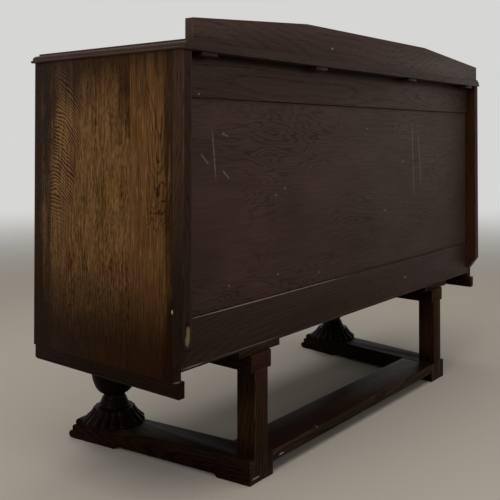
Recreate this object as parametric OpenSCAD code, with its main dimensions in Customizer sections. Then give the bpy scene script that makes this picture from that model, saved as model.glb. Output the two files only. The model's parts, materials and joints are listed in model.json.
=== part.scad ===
// Oak sideboard on a sledge stand, in millimetres.
// Z is up and the floor is z = 0. The front faces -Y and the framed back faces +Y.
// The origin lies on the floor under the middle of the whole outline.

/* [Carcass] */
// Width over the outer faces of the two sides
carcass_w = 1372; // [1300:1:1450]
// Depth of a side, its rear strip included
side_d = 450; // [435:1:480]
// Thickness of the sides
side_t = 22; // [20:1:24]
// Height from the underside of the bottom board to the underside of the top
carcass_h = 600; // [584:1:640]
// How far the sides hang below the underside of the bottom board
skirt_drop = 14; // [12:1:22]
// Thickness of the bottom board
bottom_t = 18; // [15:1:20]
// Thickness of the two partitions
partition_t = 20; // [16:1:22]
// Clear width between the partitions
centre_bay_w = 440; // [400:1:480]
// Height of the frieze rail under the top
frieze_h = 38; // [32:1:45]
// Thickness of the front rails, the doors and the drawer fronts
front_t = 20; // [18:1:24]

/* [Rear strips] */
// Depth of the strip screwed to the rear edge of each side
strip_d = 27; // [24:1:32]
// Height of the clipped foot of a strip at its rear edge, above the bottom board's underside
strip_clip_rear = 50; // [40:1:60]
// Height of the same clip where the strip meets the side
strip_clip_front = 13; // [8:1:18]
// Distance of the end screws from the ends of a strip
strip_screw_end = 46; // [36:1:60]
// Radius of the screw shanks
screw_r = 2.2; // [1.8:0.1:2.6]
// Radius of the countersunk heads
screw_head_r = 4.6; // [4:0.1:5.4]
// Length of the screws
screw_len = 50; // [44:1:60]

/* [Back] */
// Thickness of the back rails
back_rail_t = 18; // [15:1:20]
// Height of the top back rail
back_top_rail_h = 85; // [70:1:100]
// Height of the bottom back rail
back_bottom_rail_h = 90; // [75:1:105]
// Thickness of the lip of the bottom board that runs under that rail
board_lip_t = 5; // [4:0.5:8]
// Thickness of the ply panel
ply_t = 6; // [4:0.5:7]
// Set-back of the ply panel from the rear face of the rails
ply_setback = 5; // [3:0.5:6]
// Depth to which the panel is let into the rails and the sides
ply_tongue = 7; // [5:0.5:9]

/* [Top and gallery] */
// Thickness of the top
top_t = 20; // [18:1:23]
// Overhang of the top past each side
top_side_lip = 4; // [3:0.5:8]
// Overhang of the top past the front
top_front_lip = 10; // [6:0.5:14]
// Overhang of the top past the rear edges
top_rear_lip = 4.5; // [3:0.5:8]
// Radius of the bead along the foot of the top's moulded edge
top_bead_r = 3; // [2:0.25:3.5]
// Height of the fillet over the bead
top_fillet_h = 1.7; // [1:0.1:2.5]
// Radius of the ovolo over the fillet
top_ovolo_r = 8; // [6:0.25:9]
// Width of the flat step inside the ovolo
top_step_w = 2; // [1:0.25:4]
// Thickness of the gallery
gallery_t = 21; // [18:1:24]
// Depth of the housing in the top that the gallery stands in
gallery_seat = 3; // [1:0.5:5]
// Set-in of the gallery's ends from the outer faces of the sides
gallery_inset = 20; // [10:1:40]
// Height of the gallery at its ends
gallery_end_h = 40; // [30:1:50]
// Height of the gallery along its middle
gallery_mid_h = 70; // [60:1:85]
// Length of the level middle of the gallery
gallery_flat_w = 586; // [480:1:700]
// Width of a glue block under the top
block_w = 45; // [35:1:60]
// Height of a glue block
block_h = 8; // [6:1:24]
// Clear depth that a glue block leaves at the rear edge
block_setback = 4; // [2:1:6]
// Distance from the middle to the inner pair of glue blocks
block_inner_x = 227; // [200:1:260]
// Distance of the outer pair of glue blocks from the outer faces of the sides
block_outer_in = 71; // [55:1:120]

/* [Base moulding] */
// Height of the moulding under the carcass
moulding_h = 31; // [22:1:34]
// Thickness of the moulding
moulding_t = 22; // [16:1:24]
// Set-back of the moulding from the front edges of the sides
moulding_setback = 6; // [3:1:9]
// How far its square rear ends run on behind the back
moulding_rear_reach = 9; // [4:1:14]
// Radius of its rounded lower edge
moulding_round = 8; // [5:0.5:10]

/* [Stand] */
// Height from the floor to the underside of the bottom board
stand_h = 280; // [272:1:300]
// Set-in of the stand from the rear edges of the sides
stand_setback = 22; // [16:1:30]
// Set-in of the middle of each rear leg from the outer face of its side
foot_inset = 260; // [240:1:290]
// Angle by which each runner splays outward to the front, in degrees
splay = 7.6; // [5:0.1:9]
// Width of a runner
runner_w = 78; // [70:1:84]
// Height of a runner
runner_h = 50; // [46:1:56]
// Length of a runner from the rear face to the tip of its toe
runner_len = 511; // [495:1:525]
// Height of the hollow under a runner between its floor pads
runner_relief = 7; // [4:1:10]
// Length of the rear floor pad
rear_pad_len = 86; // [76:1:100]
// Length from the hollow to the tip of the toe
front_pad_len = 139; // [120:1:150]
// Radius of the three reeds across a toe
reed_r = 8.5; // [7:0.5:9.5]
// Width of a rear leg
post_w = 44; // [38:1:50]
// Depth of a rear leg
post_d = 49; // [44:1:56]
// Width of a bearer
bearer_w = 67; // [58:1:74]
// Height of the bearers
bearer_h = 50; // [44:1:54]
// Width of the front bearer from front to back
front_bearer_d = 80; // [70:1:95]
// How far the front bearer runs past the axis of each front leg
front_bearer_past = 66; // [50:1:80]
// Width of the cleat on the rear end of a bearer
cleat_w = 139; // [120:1:160]
// Depth of that cleat
cleat_d = 50; // [40:1:60]
// Thickness of that cleat
cleat_t = 13; // [10:1:16]
// Set-in of the cleat from the rear end of its bearer
cleat_setback = 4; // [2:1:8]
// Width of the flat stretcher between the runners
stretcher_d = 100; // [80:1:110]
// Thickness of the stretcher
stretcher_t = 25; // [20:1:30]

/* [Front legs] */
// Distance of a front leg's axis from the rear face of the stand
leg_forward = 400; // [388:1:408]
// Height of the gadrooned bell
bell_h = 33; // [30:1:37]
// Radius of the bell where it stands on the runner
bell_base_r = 70; // [62:1:72]
// Radius of the bell's rim, its widest line
bell_rim_r = 74; // [72:1:78]
// Height of the rim over the runner
bell_rim_h = 4; // [3:0.5:8]
// Radius at the top of the bell
bell_top_r = 48; // [44:1:50]
// Number of gadroons round the bell
gadroon_count = 18; // [14:1:20]
// Depth of the valleys between the gadroons
gadroon_depth = 5; // [3:0.5:6]
// Power of the bell's flare, where 1 is a straight cone
bell_flare = 2; // [1:0.1:2.5]
// Radius of the collar's band over the bell
collar_r = 38; // [36.5:0.5:42]
// Height of that band
collar_band_h = 4; // [3:0.5:6]
// Radius of the slope above the band where it starts
collar_slope_r = 34; // [30:0.5:36.5]
// Height of the slope from the band to the neck
collar_slope_h = 24; // [16:0.5:26]
// Radius of the neck, the thinnest line of the leg
neck_r = 24; // [21:0.5:26]
// Height of the straight neck
neck_h = 3; // [2:0.5:5]
// Radius of the ring under the cup
cup_foot_r = 27; // [26:0.5:30]
// Height of that ring
cup_foot_h = 3; // [2:0.5:5]
// Largest radius of the cup
cup_r = 54.5; // [52:0.5:60]
// Height of the cup
cup_h = 63; // [58:1:70]
// Depth and height of the groove between the cup and its cover
lid_groove = 2; // [1:0.25:3]
// Radius at the top of the cover
cover_top_r = 38; // [34:0.5:44]
// Width and depth of the square cap on the leg
cap_w = 84; // [78:1:90]
// Height of the square cap
cap_h = 12; // [9:1:15]
// Radius of the round fillet under the cap
cap_fillet_r = 40; // [36:0.5:42]
// Height of that fillet
cap_fillet_h = 5; // [4:0.5:7]

/* [Doors] */
// Gap at the hinged edge of a door
hinge_gap = 2; // [1.6:0.1:2.6]
// Gap along the other edges of doors and drawer fronts
reveal = 1.5; // [1.2:0.1:2.4]
// Width of the stiles
stile_w = 52; // [46:1:60]
// Width of the top and bottom rails of a door
door_rail_w = 56; // [48:1:64]
// Depth of the grooves that hold a door panel
door_groove_d = 8; // [6:0.5:10]
// Thickness of a panel's edge, and width of its groove
panel_edge_t = 6; // [4:0.5:7]
// Set-back of the groove from the face of the door
groove_setback = 8; // [7:0.5:9]
// Width of the bevel round a panel's raised field
bevel_w = 32; // [24:1:40]
// Rise of that bevel
bevel_rise = 3; // [2:0.25:4]
// Rise of the square step between bevel and field
field_step = 2; // [1:0.25:2.5]
// Flat edge of a panel that shows between the frame and the bevel
panel_sight = 2; // [0.5:0.5:4]
// Clearance left round a panel in its grooves
panel_play = 1; // [0.5:0.25:2]
// Length of the tenons on the door rails
tenon_len = 34; // [24:1:40]
// Thickness of the tenons
tenon_t = 7; // [6:0.5:8]
// Height of the shoulder over and under each tenon
tenon_shoulder = 10; // [6:1:14]
// Hairline left between pieces that are glued together
joint_gap = 0.1; // [0.05:0.05:0.2]
// Height of a shelf's top over the bottom board
shelf_up = 274; // [230:1:320]
// Thickness of a shelf
shelf_t = 16; // [13:1:18]
// Set-back of a shelf behind the doors
shelf_setback = 5; // [2:1:20]
// Width and height of the shelf bearers
shelf_bearer = 14; // [10:1:18]

/* [Hinges] */
// Radius of the knuckles
knuckle_r = 3.5; // [3:0.25:4]
// Radius of the hinge pins
hinge_pin_r = 1.5; // [1.2:0.1:1.8]
// Running clearance round a pin
pin_clearance = 0.08; // [0.05:0.01:0.1]
// Gap between neighbouring knuckles
knuckle_gap = 0.3; // [0.2:0.05:0.5]
// Thickness of the leaves
leaf_t = 1.5; // [1.2:0.1:1.8]
// Width of a leaf
leaf_w = 17; // [14:1:17]
// Height of a hinge
hinge_h = 64; // [56:1:76]
// Distance from the end of a door to its nearer hinge
hinge_end = 62; // [50:1:90]

/* [Drawers] */
// Clear height of the top drawer's opening
top_drawer_h = 150; // [135:1:160]
// Clear height of the middle drawer's opening
middle_drawer_h = 165; // [150:1:175]
// Height of the rails between the drawers
blade_h = 20; // [17:1:24]
// Depth of those rails
blade_d = 45; // [35:1:60]
// Width of the runners behind the rails
drawer_runner_w = 16; // [14:1:22]
// Thickness of the drawer sides and backs
box_t = 10; // [8:0.5:12]
// Thickness of the drawer bottoms
box_bottom_t = 4; // [3:0.5:5]
// Height of the drawer bottom over the lower edge of the box
box_bottom_up = 8; // [7:0.5:12]
// Depth of the grooves that hold the drawer bottom
box_groove_d = 5; // [3:0.5:6]
// Clear height over the sides of a drawer
box_top_gap = 12; // [8:1:20]
// Length of the dovetails into the drawer front
tail_len = 14; // [11:0.5:15]
// Width of a dovetail at its root
tail_w = 18; // [14:1:22]
// Slope of the dovetails, as spread on each side
tail_spread = 3; // [2:0.25:4]
// Gap at each end of a drawer
drawer_side_gap = 1; // [0.6:0.1:1.6]
// Clearance between sliding faces
slide_clearance = 0.3; // [0.2:0.05:0.5]
// Clear depth behind a closed drawer
drawer_rear_gap = 15; // [10:1:30]

/* [Handles] */
// Width of a backplate
plate_w = 34; // [30:1:40]
// Radius of its crest above the pin
plate_crest_r = 7.5; // [6:0.5:10]
// Width of its waist below the pin
plate_waist_w = 15; // [12:0.5:18]
// Radius of its foot behind the drop
plate_foot_r = 12; // [10:0.5:14]
// Radius of the tip under the foot
plate_tip_r = 6; // [4:0.5:8]
// Distance of the foot below the pin
plate_foot_down = 31; // [26:1:36]
// Thickness of a backplate
plate_t = 2; // [1.5:0.25:3]
// Distance from the wood to the axis of the handle's pin
handle_out = 12; // [11:0.5:14]
// Radius of the handle's pin
handle_pin_r = 1.5; // [1.2:0.1:1.7]
// Width of the drop's eye between the ears
eye_w = 5; // [4:0.5:6]
// Radius of the eye
eye_r = 3.4; // [3:0.1:3.8]
// Thickness of an ear
ear_t = 2; // [1.5:0.25:2.5]
// Radius of the drop's shank
shank_r = 2; // [1.75:0.25:2.5]
// Length from the pin to the top of the drop's pear
shank_len = 14; // [11:0.5:18]
// Largest radius of the drop
drop_r = 7.5; // [6:0.25:8]
// Length of the drop below its pin
drop_len = 42; // [36:1:50]

/* [Hidden] */
$fn = 48;

// Colours
oak = "#6b431f";
dark_oak = "#3a2216";
ply_brown = "#3c2a25";
stand_oak = "#2b1a12";
drawer_wood = "#a8835a";
brass = "#a8863f";
steel = "#8f8c86";

// Overcut that lets a cut leave its face cleanly
cut = 1;

// Heights
bearer_z = stand_h - bearer_h;
carcass_top = stand_h + carcass_h;
side_foot = stand_h - skirt_drop;
top_z = carcass_top + top_t;
opening_z = stand_h + bottom_t;
opening_top = carcass_top - frieze_h;
shelf_z = opening_z + shelf_up - shelf_t;
back_rail_foot_z = stand_h + board_lip_t;
back_rail_low_z = back_rail_foot_z + back_bottom_rail_h;
back_rail_high_z = carcass_top - back_top_rail_h;

// Half the width over the sides
side_x = carcass_w / 2;

// Plan of the stand, measured forward from its rear face
foot_x = side_x - foot_inset;
half_runner = runner_w / 2;
toe_reach = runner_len * cos(splay) + half_runner * sin(splay);

// Depths, set so that the whole outline is centred on the origin
outline_d = top_rear_lip + stand_setback + toe_reach;
side_rear_y = outline_d / 2 - top_rear_lip;
top_rear_y = side_rear_y + top_rear_lip;
back_y = side_rear_y - strip_d;
back_inner_y = back_y - back_rail_t;
front_y = side_rear_y - side_d;
front_inner_y = front_y + front_t;
stand_y = side_rear_y - stand_setback;
ply_rear_y = back_y - ply_setback;

// Widths
side_inner_x = side_x - side_t;
partition_x = centre_bay_w / 2;
bay_x = partition_x + partition_t;

// Front legs
leg_x = foot_x + leg_forward * tan(splay);
leg_y = stand_y - leg_forward;
leg_h = bearer_z - runner_h;
neck_z = bell_h + collar_band_h + collar_slope_h;
cup_foot_z = neck_z + neck_h;
cup_z = cup_foot_z + cup_foot_h + cup_h;
cap_z = leg_h - cap_h;
cover_z = cap_z - cap_fillet_h;

// Base moulding and front bearer
moulding_z = side_foot - moulding_h;
moulding_y = front_y + moulding_setback;
bearer_front_y = moulding_y + moulding_t;
bearer_rear_y = bearer_front_y + front_bearer_d;

// Drawer openings from the top down: [lower edge, height]
middle_blade_z = opening_top - top_drawer_h - blade_h;
lower_blade_z = middle_blade_z - middle_drawer_h - blade_h;
top_opening = [middle_blade_z + blade_h, top_drawer_h];
middle_opening = [lower_blade_z + blade_h, middle_drawer_h];
bottom_opening = [opening_z, lower_blade_z - opening_z];
drawer_half_w = partition_x - drawer_side_gap;
drawer_rear_y = back_inner_y - drawer_rear_gap;

// Doors
door_x0 = bay_x + reveal;
door_x1 = side_inner_x - hinge_gap;
door_z0 = opening_z + reveal;
door_z1 = opening_top - reveal;
frame_x0 = door_x0 + stile_w;
frame_x1 = door_x1 - stile_w;
panel_x0 = frame_x0 - door_groove_d + panel_play;
panel_x1 = frame_x1 + door_groove_d - panel_play;
panel_z0 = door_z0 + door_rail_w - door_groove_d + panel_play;
panel_z1 = door_z1 - door_rail_w + door_groove_d - panel_play;

// Hinges: the pin stands in front of the gap between door and side
knuckle_stand_off = 0.5;
hinge_x = side_inner_x - hinge_gap / 2;
hinge_y = front_y - knuckle_r - knuckle_stand_off;
hinge_zs = [door_z0 + hinge_end, door_z1 - hinge_end - hinge_h];
knuckle_count = 5;
knuckle_h = (hinge_h - (knuckle_count - 1) * knuckle_gap) / knuckle_count;

// Strip screws
strip_foot_z = stand_h + strip_clip_rear;
screw_z_low = strip_foot_z + strip_screw_end;
screw_z_high = carcass_top - strip_screw_end;
screw_zs = [screw_z_low, (screw_z_low + screw_z_high) / 2, screw_z_high];
screw_play = 0.3;
strip_x = side_x - side_t / 2;

// Gallery
gallery_x = side_x - gallery_inset;
gallery_y = top_rear_y - gallery_t;
gallery_z = top_z - gallery_seat;

// Handles
handle_y = front_y - handle_out;
door_handle_x = door_x0 + stile_w / 2;
door_handle_z = (door_z0 + door_z1) / 2 + drop_len / 2;
ear_play = 0.3;

// A box from its low and high corners
module block(low, high) {
    translate(low) cube(high - low);
}

// Extrudes a (y, z) outline along X
module along_x(x0, x1) {
    translate([x0, 0, 0]) rotate([90, 0, 90]) linear_extrude(x1 - x0) children();
}

// Extrudes an (x, z) outline along Y
module along_y(y0, y1) {
    translate([0, y1, 0]) rotate([90, 0, 0]) linear_extrude(y1 - y0) children();
}

// Draws its children on the right, or mirrored on the left
module on_side(side) {
    mirror([side < 0 ? 1 : 0, 0, 0]) children();
}

// Points of an arc in a plane
function arc(centre, radius, start, end, steps) = [
    for (i = [0:steps])
        let (a = start + (end - start) * i / steps)
        centre + radius * [cos(a), sin(a)]
];

// Moulded edge of the top, as [set-back from the lip, height over the underside]
edge_steps = 8;
top_edge = concat(
    arc([top_bead_r, top_bead_r], top_bead_r, 270, 90, edge_steps),
    [[top_bead_r, 2 * top_bead_r + top_fillet_h]],
    arc([top_bead_r + top_ovolo_r, 2 * top_bead_r + top_fillet_h], top_ovolo_r, 180, 90, edge_steps),
    [[top_bead_r + top_ovolo_r + top_step_w, 2 * top_bead_r + top_fillet_h + top_ovolo_r]],
    [[top_bead_r + top_ovolo_r + top_step_w, top_t]]
);

// The top, housed along its rear edge for the gallery
module top_board() {
    lip_x = side_x + top_side_lip;
    lip_y = front_y - top_front_lip;
    last = len(top_edge) - 1;
    left_edge = [for (p = top_edge) [-lip_x + p[0], carcass_top + p[1]]];
    right_edge = [for (i = [last:-1:0]) [lip_x - top_edge[i][0], carcass_top + top_edge[i][1]]];
    front_edge = [for (p = top_edge) [lip_y + p[0], carcass_top + p[1]]];
    color(oak) difference() {
        intersection() {
            along_y(lip_y, top_rear_y) polygon(concat(left_edge, right_edge));
            along_x(-lip_x, lip_x)
                polygon(concat(front_edge, [[top_rear_y, top_z], [top_rear_y, carcass_top]]));
        }
        block([-gallery_x, gallery_y, gallery_z], [gallery_x, top_rear_y + cut, top_z + cut]);
    }
}

module gallery() {
    flat_x = gallery_flat_w / 2;
    color(dark_oak) along_y(gallery_y, top_rear_y) polygon([
        [-gallery_x, gallery_z], [gallery_x, gallery_z], [gallery_x, top_z + gallery_end_h],
        [flat_x, top_z + gallery_mid_h], [-flat_x, top_z + gallery_mid_h],
        [-gallery_x, top_z + gallery_end_h]
    ]);
}

module glue_blocks() {
    outer_x = side_x - block_outer_in;
    color(dark_oak) for (x = [-outer_x, -block_inner_x, block_inner_x, outer_x])
        block([x - block_w / 2, back_y, carcass_top - block_h],
              [x + block_w / 2, top_rear_y - block_setback, carcass_top]);
}

// Pilot and clearance holes for the strip screws, each along Y
module screw_bore(y0, y1, radius) {
    for (z = screw_zs)
        translate([strip_x, y1, z]) rotate([90, 0, 0]) cylinder(r = radius, h = y1 - y0);
}

// A side with the groove for the back panel, the hinge recesses and the screw holes
module side_panel() {
    color(oak) difference() {
        block([side_inner_x, front_y, side_foot], [side_x, back_y, carcass_top]);
        block([side_inner_x - cut, ply_rear_y - ply_t, back_rail_low_z - ply_tongue],
              [side_inner_x + ply_tongue, ply_rear_y, carcass_top - back_top_rail_h + ply_tongue]);
        for (z = hinge_zs)
            block([side_inner_x - cut, front_y - cut, z],
                  [side_inner_x + leaf_t, front_y + leaf_w, z + hinge_h]);
        screw_bore(side_rear_y - screw_len - cut, back_y + cut, screw_r + pin_clearance);
    }
}

module side_left() { on_side(-1) side_panel(); }
module side_right() { on_side(1) side_panel(); }

// The countersunk head of a strip screw, or the seat for it
module countersink(play) {
    head = screw_head_r + play;
    shank = screw_r + play;
    for (z = screw_zs)
        translate([strip_x, side_rear_y - (head - shank), z]) rotate([-90, 0, 0])
            cylinder(r1 = shank, r2 = head, h = head - shank);
}

module rear_strip() {
    color(dark_oak) difference() {
        along_x(side_inner_x, side_x) polygon([
            [back_y, stand_h + strip_clip_front], [side_rear_y, strip_foot_z],
            [side_rear_y, carcass_top], [back_y, carcass_top]
        ]);
        screw_bore(back_y - cut, side_rear_y + cut, screw_r + screw_play);
        countersink(screw_play);
    }
}

module rear_strip_left() { on_side(-1) rear_strip(); }
module rear_strip_right() { on_side(1) rear_strip(); }

// Slotted wood screws, three in each strip
slot_w = 1.2;
slot_depth = 1;
module strip_screws() {
    color(steel) for (side = [-1, 1]) on_side(side) difference() {
        union() {
            screw_bore(side_rear_y - screw_len, side_rear_y - (screw_head_r - screw_r), screw_r);
            countersink(0);
        }
        for (z = screw_zs)
            block([strip_x - screw_head_r - cut, side_rear_y - slot_depth, z - slot_w / 2],
                  [strip_x + screw_head_r + cut, side_rear_y + cut, z + slot_w / 2]);
    }
}

// A back rail with the groove that holds the ply
module back_rail(z0, z1, groove_z0, groove_z1) {
    color(dark_oak) difference() {
        block([-side_inner_x, back_inner_y, z0], [side_inner_x, back_y, z1]);
        block([-side_x, ply_rear_y - ply_t, groove_z0], [side_x, ply_rear_y, groove_z1]);
    }
}

module back_top_rail() {
    back_rail(back_rail_high_z, carcass_top, back_rail_high_z - cut, back_rail_high_z + ply_tongue);
}

module back_bottom_rail() {
    back_rail(back_rail_foot_z, back_rail_low_z, back_rail_low_z - ply_tongue, back_rail_low_z + cut);
}

module back_panel() {
    reach = ply_tongue - panel_play;
    color(ply_brown) block([-side_inner_x - reach, ply_rear_y - ply_t, back_rail_low_z - reach],
                           [side_inner_x + reach, ply_rear_y, back_rail_high_z + reach]);
}

// The bottom board runs on under the bottom back rail in a thin lip
module bottom_board() {
    color(dark_oak) {
        block([-side_inner_x, front_inner_y, stand_h], [side_inner_x, back_inner_y, opening_z]);
        block([-side_inner_x, back_inner_y - cut, stand_h], [side_inner_x, back_y, back_rail_foot_z]);
    }
}

module partition() {
    color(dark_oak) difference() {
        block([partition_x, front_y, opening_z], [bay_x, back_inner_y, carcass_top]);
        block([partition_x - cut, front_y - cut, opening_top],
              [bay_x + cut, front_inner_y, carcass_top + cut]);
    }
}

module partition_left() { on_side(-1) partition(); }
module partition_right() { on_side(1) partition(); }

module frieze_rail() {
    color(oak) block([-side_inner_x, front_y, opening_top],
                     [side_inner_x, front_inner_y, carcass_top]);
}

module bottom_rail() {
    color(oak) block([-side_inner_x, front_y, side_foot], [side_inner_x, front_inner_y, opening_z]);
}

// Section of the base moulding, as [distance in from its face, height]
round_steps = 8;
moulding_section = concat(
    [[0, side_foot], [moulding_t, side_foot], [moulding_t, moulding_z]],
    arc([moulding_round, moulding_z + moulding_round], moulding_round, 270, 180, round_steps)
);

// Plan wedge that mitres the moulding at a front corner
module mitre_plan(points) {
    translate([0, 0, moulding_z - cut]) linear_extrude(moulding_h + 2 * cut) polygon(points);
}

module base_moulding_front() {
    inner_x = side_x - moulding_t;
    color(dark_oak) intersection() {
        along_x(-side_x, side_x) polygon([for (p = moulding_section) [moulding_y + p[0], p[1]]]);
        mitre_plan([[-side_x, moulding_y], [side_x, moulding_y],
                    [inner_x, moulding_y + moulding_t], [-inner_x, moulding_y + moulding_t]]);
    }
}

module base_moulding_side() {
    inner_x = side_x - moulding_t;
    end_y = back_y + moulding_rear_reach;
    color(dark_oak) intersection() {
        along_y(moulding_y, end_y) polygon([for (p = moulding_section) [side_x - p[0], p[1]]]);
        mitre_plan([[side_x, moulding_y], [side_x, end_y],
                    [inner_x, end_y], [inner_x, moulding_y + moulding_t]]);
    }
}

module base_moulding_left() { on_side(-1) base_moulding_side(); }
module base_moulding_right() { on_side(1) base_moulding_side(); }

module drawer_rails() {
    color(oak) for (z = [middle_blade_z, lower_blade_z])
        block([-partition_x, front_y, z], [partition_x, front_y + blade_d, z + blade_h]);
}

module drawer_runners() {
    color(drawer_wood) for (z = [middle_blade_z, lower_blade_z], side = [-1, 1]) on_side(side)
        block([partition_x - drawer_runner_w, front_y + blade_d, z],
              [partition_x, drawer_rear_y, z + blade_h]);
}

// Small blocks that stop the drawer fronts and the doors flush with the carcass
stop_w = 40;
stop_d = 14;
drawer_stop_h = 5;
drawer_stop_in = 70;
door_stop_up = 380;
module stop_blocks() {
    stop_y = front_inner_y + slide_clearance;
    drawer_stop_x = partition_x - drawer_stop_in;
    color(drawer_wood) {
        for (z = [top_opening[0], middle_opening[0], bottom_opening[0]], side = [-1, 1])
            block([side * drawer_stop_x - stop_w / 2, stop_y, z],
                  [side * drawer_stop_x + stop_w / 2, stop_y + stop_d, z + drawer_stop_h]);
        for (side = [-1, 1]) on_side(side)
            block([bay_x, stop_y, opening_z + door_stop_up],
                  [bay_x + stop_d, stop_y + stop_d, opening_z + door_stop_up + stop_w]);
    }
}

// Shelves lie loose on bearers on the side and the partition of each cupboard
shelf_play = 1;
shelf_front_y = front_inner_y + shelf_setback;
module shelves() {
    color(drawer_wood) for (side = [-1, 1]) on_side(side)
        block([bay_x + shelf_play, shelf_front_y, shelf_z],
              [side_inner_x - shelf_play, back_inner_y - shelf_play, shelf_z + shelf_t]);
}

module shelf_bearers() {
    bearer_y0 = shelf_front_y + shelf_bearer;
    bearer_y1 = back_inner_y - shelf_bearer;
    color(drawer_wood) for (side = [-1, 1]) on_side(side) {
        block([bay_x, bearer_y0, shelf_z - shelf_bearer],
              [bay_x + shelf_bearer, bearer_y1, shelf_z]);
        block([side_inner_x - shelf_bearer, bearer_y0, shelf_z - shelf_bearer],
              [side_inner_x, bearer_y1, shelf_z]);
    }
}

module front_bearer() {
    half = leg_x + front_bearer_past;
    color(stand_oak) block([-half, bearer_front_y, bearer_z], [half, bearer_rear_y, stand_h]);
}

// A bearer notched at its rear end for the cleat
module bearer() {
    color(stand_oak) difference() {
        block([foot_x - bearer_w / 2, bearer_rear_y, bearer_z],
              [foot_x + bearer_w / 2, stand_y, stand_h]);
        block([foot_x - bearer_w / 2 - cut, stand_y - cleat_setback - cleat_d, stand_h - cleat_t],
              [foot_x + bearer_w / 2 + cut, stand_y + cut, stand_h + cut]);
    }
}

module bearer_left() { on_side(-1) bearer(); }
module bearer_right() { on_side(1) bearer(); }

module bearer_cleats() {
    color(stand_oak) for (side = [-1, 1]) on_side(side)
        block([foot_x - cleat_w / 2, stand_y - cleat_setback - cleat_d, stand_h - cleat_t],
              [foot_x + cleat_w / 2, stand_y - cleat_setback, stand_h]);
}

module rear_post() {
    color(stand_oak) block([foot_x - post_w / 2, stand_y - post_d, 0],
                           [foot_x + post_w / 2, stand_y, bearer_z]);
}

module rear_leg_left() { on_side(-1) rear_post(); }
module rear_leg_right() { on_side(1) rear_post(); }

// Side view of a runner, as [distance forward of its rear end, height]
relief_run = 10;
toe_gap = 0.5;
toe_undercut = 18;
reed_step = [11, 15.5];
module runner_side_view() {
    tip_centre = [runner_len - reed_r, toe_gap + reed_r];
    reeds = [for (i = [0:2]) tip_centre + i * [-reed_step[0], reed_step[1]]];
    toe_foot = runner_len - toe_undercut;
    relief_end = runner_len - front_pad_len;
    polygon([
        [-half_runner, 0], [rear_pad_len, 0],
        [rear_pad_len + relief_run, runner_relief], [relief_end - relief_run, runner_relief],
        [relief_end, 0], [toe_foot, 0], tip_centre - [0, reed_r], tip_centre,
        reeds[1], reeds[2], [reeds[2][0], runner_h], [-half_runner, runner_h]
    ]);
    for (centre = reeds) translate(centre) circle(reed_r);
}

// A runner, splayed outward, cut square at its rear and slotted for the rear leg
module runner() {
    color(stand_oak) difference() {
        translate([foot_x, stand_y, 0]) rotate([0, 0, splay]) intersection() {
            translate([half_runner, 0, 0]) rotate([90, 0, -90])
                linear_extrude(runner_w) runner_side_view();
            block([-half_runner, -runner_len, 0], [half_runner, half_runner, runner_h]);
        }
        block([foot_x - runner_w, stand_y, -cut], [foot_x + runner_w, stand_y + runner_w, runner_h + cut]);
        block([foot_x - post_w / 2, stand_y - post_d, -cut],
              [foot_x + post_w / 2, stand_y + cut, runner_h + cut]);
    }
}

module runner_left() { on_side(-1) runner(); }
module runner_right() { on_side(1) runner(); }

// The stretcher is cut at its ends to the splay of the runners
module stretcher() {
    rear_x = foot_x - half_runner / cos(splay);
    front_x = rear_x + stretcher_d * tan(splay);
    color(stand_oak) translate([0, 0, runner_h - stretcher_t]) linear_extrude(stretcher_t) polygon([
        [-rear_x, stand_y], [rear_x, stand_y],
        [front_x, stand_y - stretcher_d], [-front_x, stand_y - stretcher_d]
    ]);
}

// Outline of the bell from its foot up, as [radius, height]: a rounded rim under a flared skirt
rim_rings = 3;
skirt_rings = 7;
bell_line = [
    for (i = [0:rim_rings])
        let (a = 90 * i / rim_rings)
        [bell_base_r + (bell_rim_r - bell_base_r) * sin(a), bell_rim_h * (1 - cos(a))],
    for (i = [1:skirt_rings])
        let (s = i / skirt_rings)
        [bell_top_r + (bell_rim_r - bell_top_r) * pow(1 - s, bell_flare),
         bell_rim_h + (bell_h - bell_rim_h) * s]
];
lobe_points = 6;

// One ring of the bell: lobes with rounded crests and sharp valleys
function bell_ring(radius, z, depth) = [
    for (k = [0:gadroon_count * lobe_points - 1])
        let (a = 360 * k / (gadroon_count * lobe_points))
        let (r = radius - depth * (1 - abs(cos(a * gadroon_count / 2))))
        [r * cos(a), r * sin(a), z]
];

module leg_bell() {
    rings = len(bell_line);
    side_count = gadroon_count * lobe_points;
    points = [for (p = bell_line) each bell_ring(p[0], p[1], gadroon_depth)];
    walls = [
        for (j = [0:rings - 2], k = [0:side_count - 1])
            let (n = (k + 1) % side_count)
            let (a = j * side_count + k, b = j * side_count + n)
            each [[a, a + side_count, b], [b, a + side_count, b + side_count]]
    ];
    foot = [for (k = [0:side_count - 1]) k];
    crown = [for (k = [side_count - 1:-1:0]) (rings - 1) * side_count + k];
    color(stand_oak) translate([leg_x, leg_y, runner_h]) polyhedron(points, concat(walls, [foot, crown]));
}

module leg_bell_left() { on_side(-1) leg_bell(); }
module leg_bell_right() { on_side(1) leg_bell(); }

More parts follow.
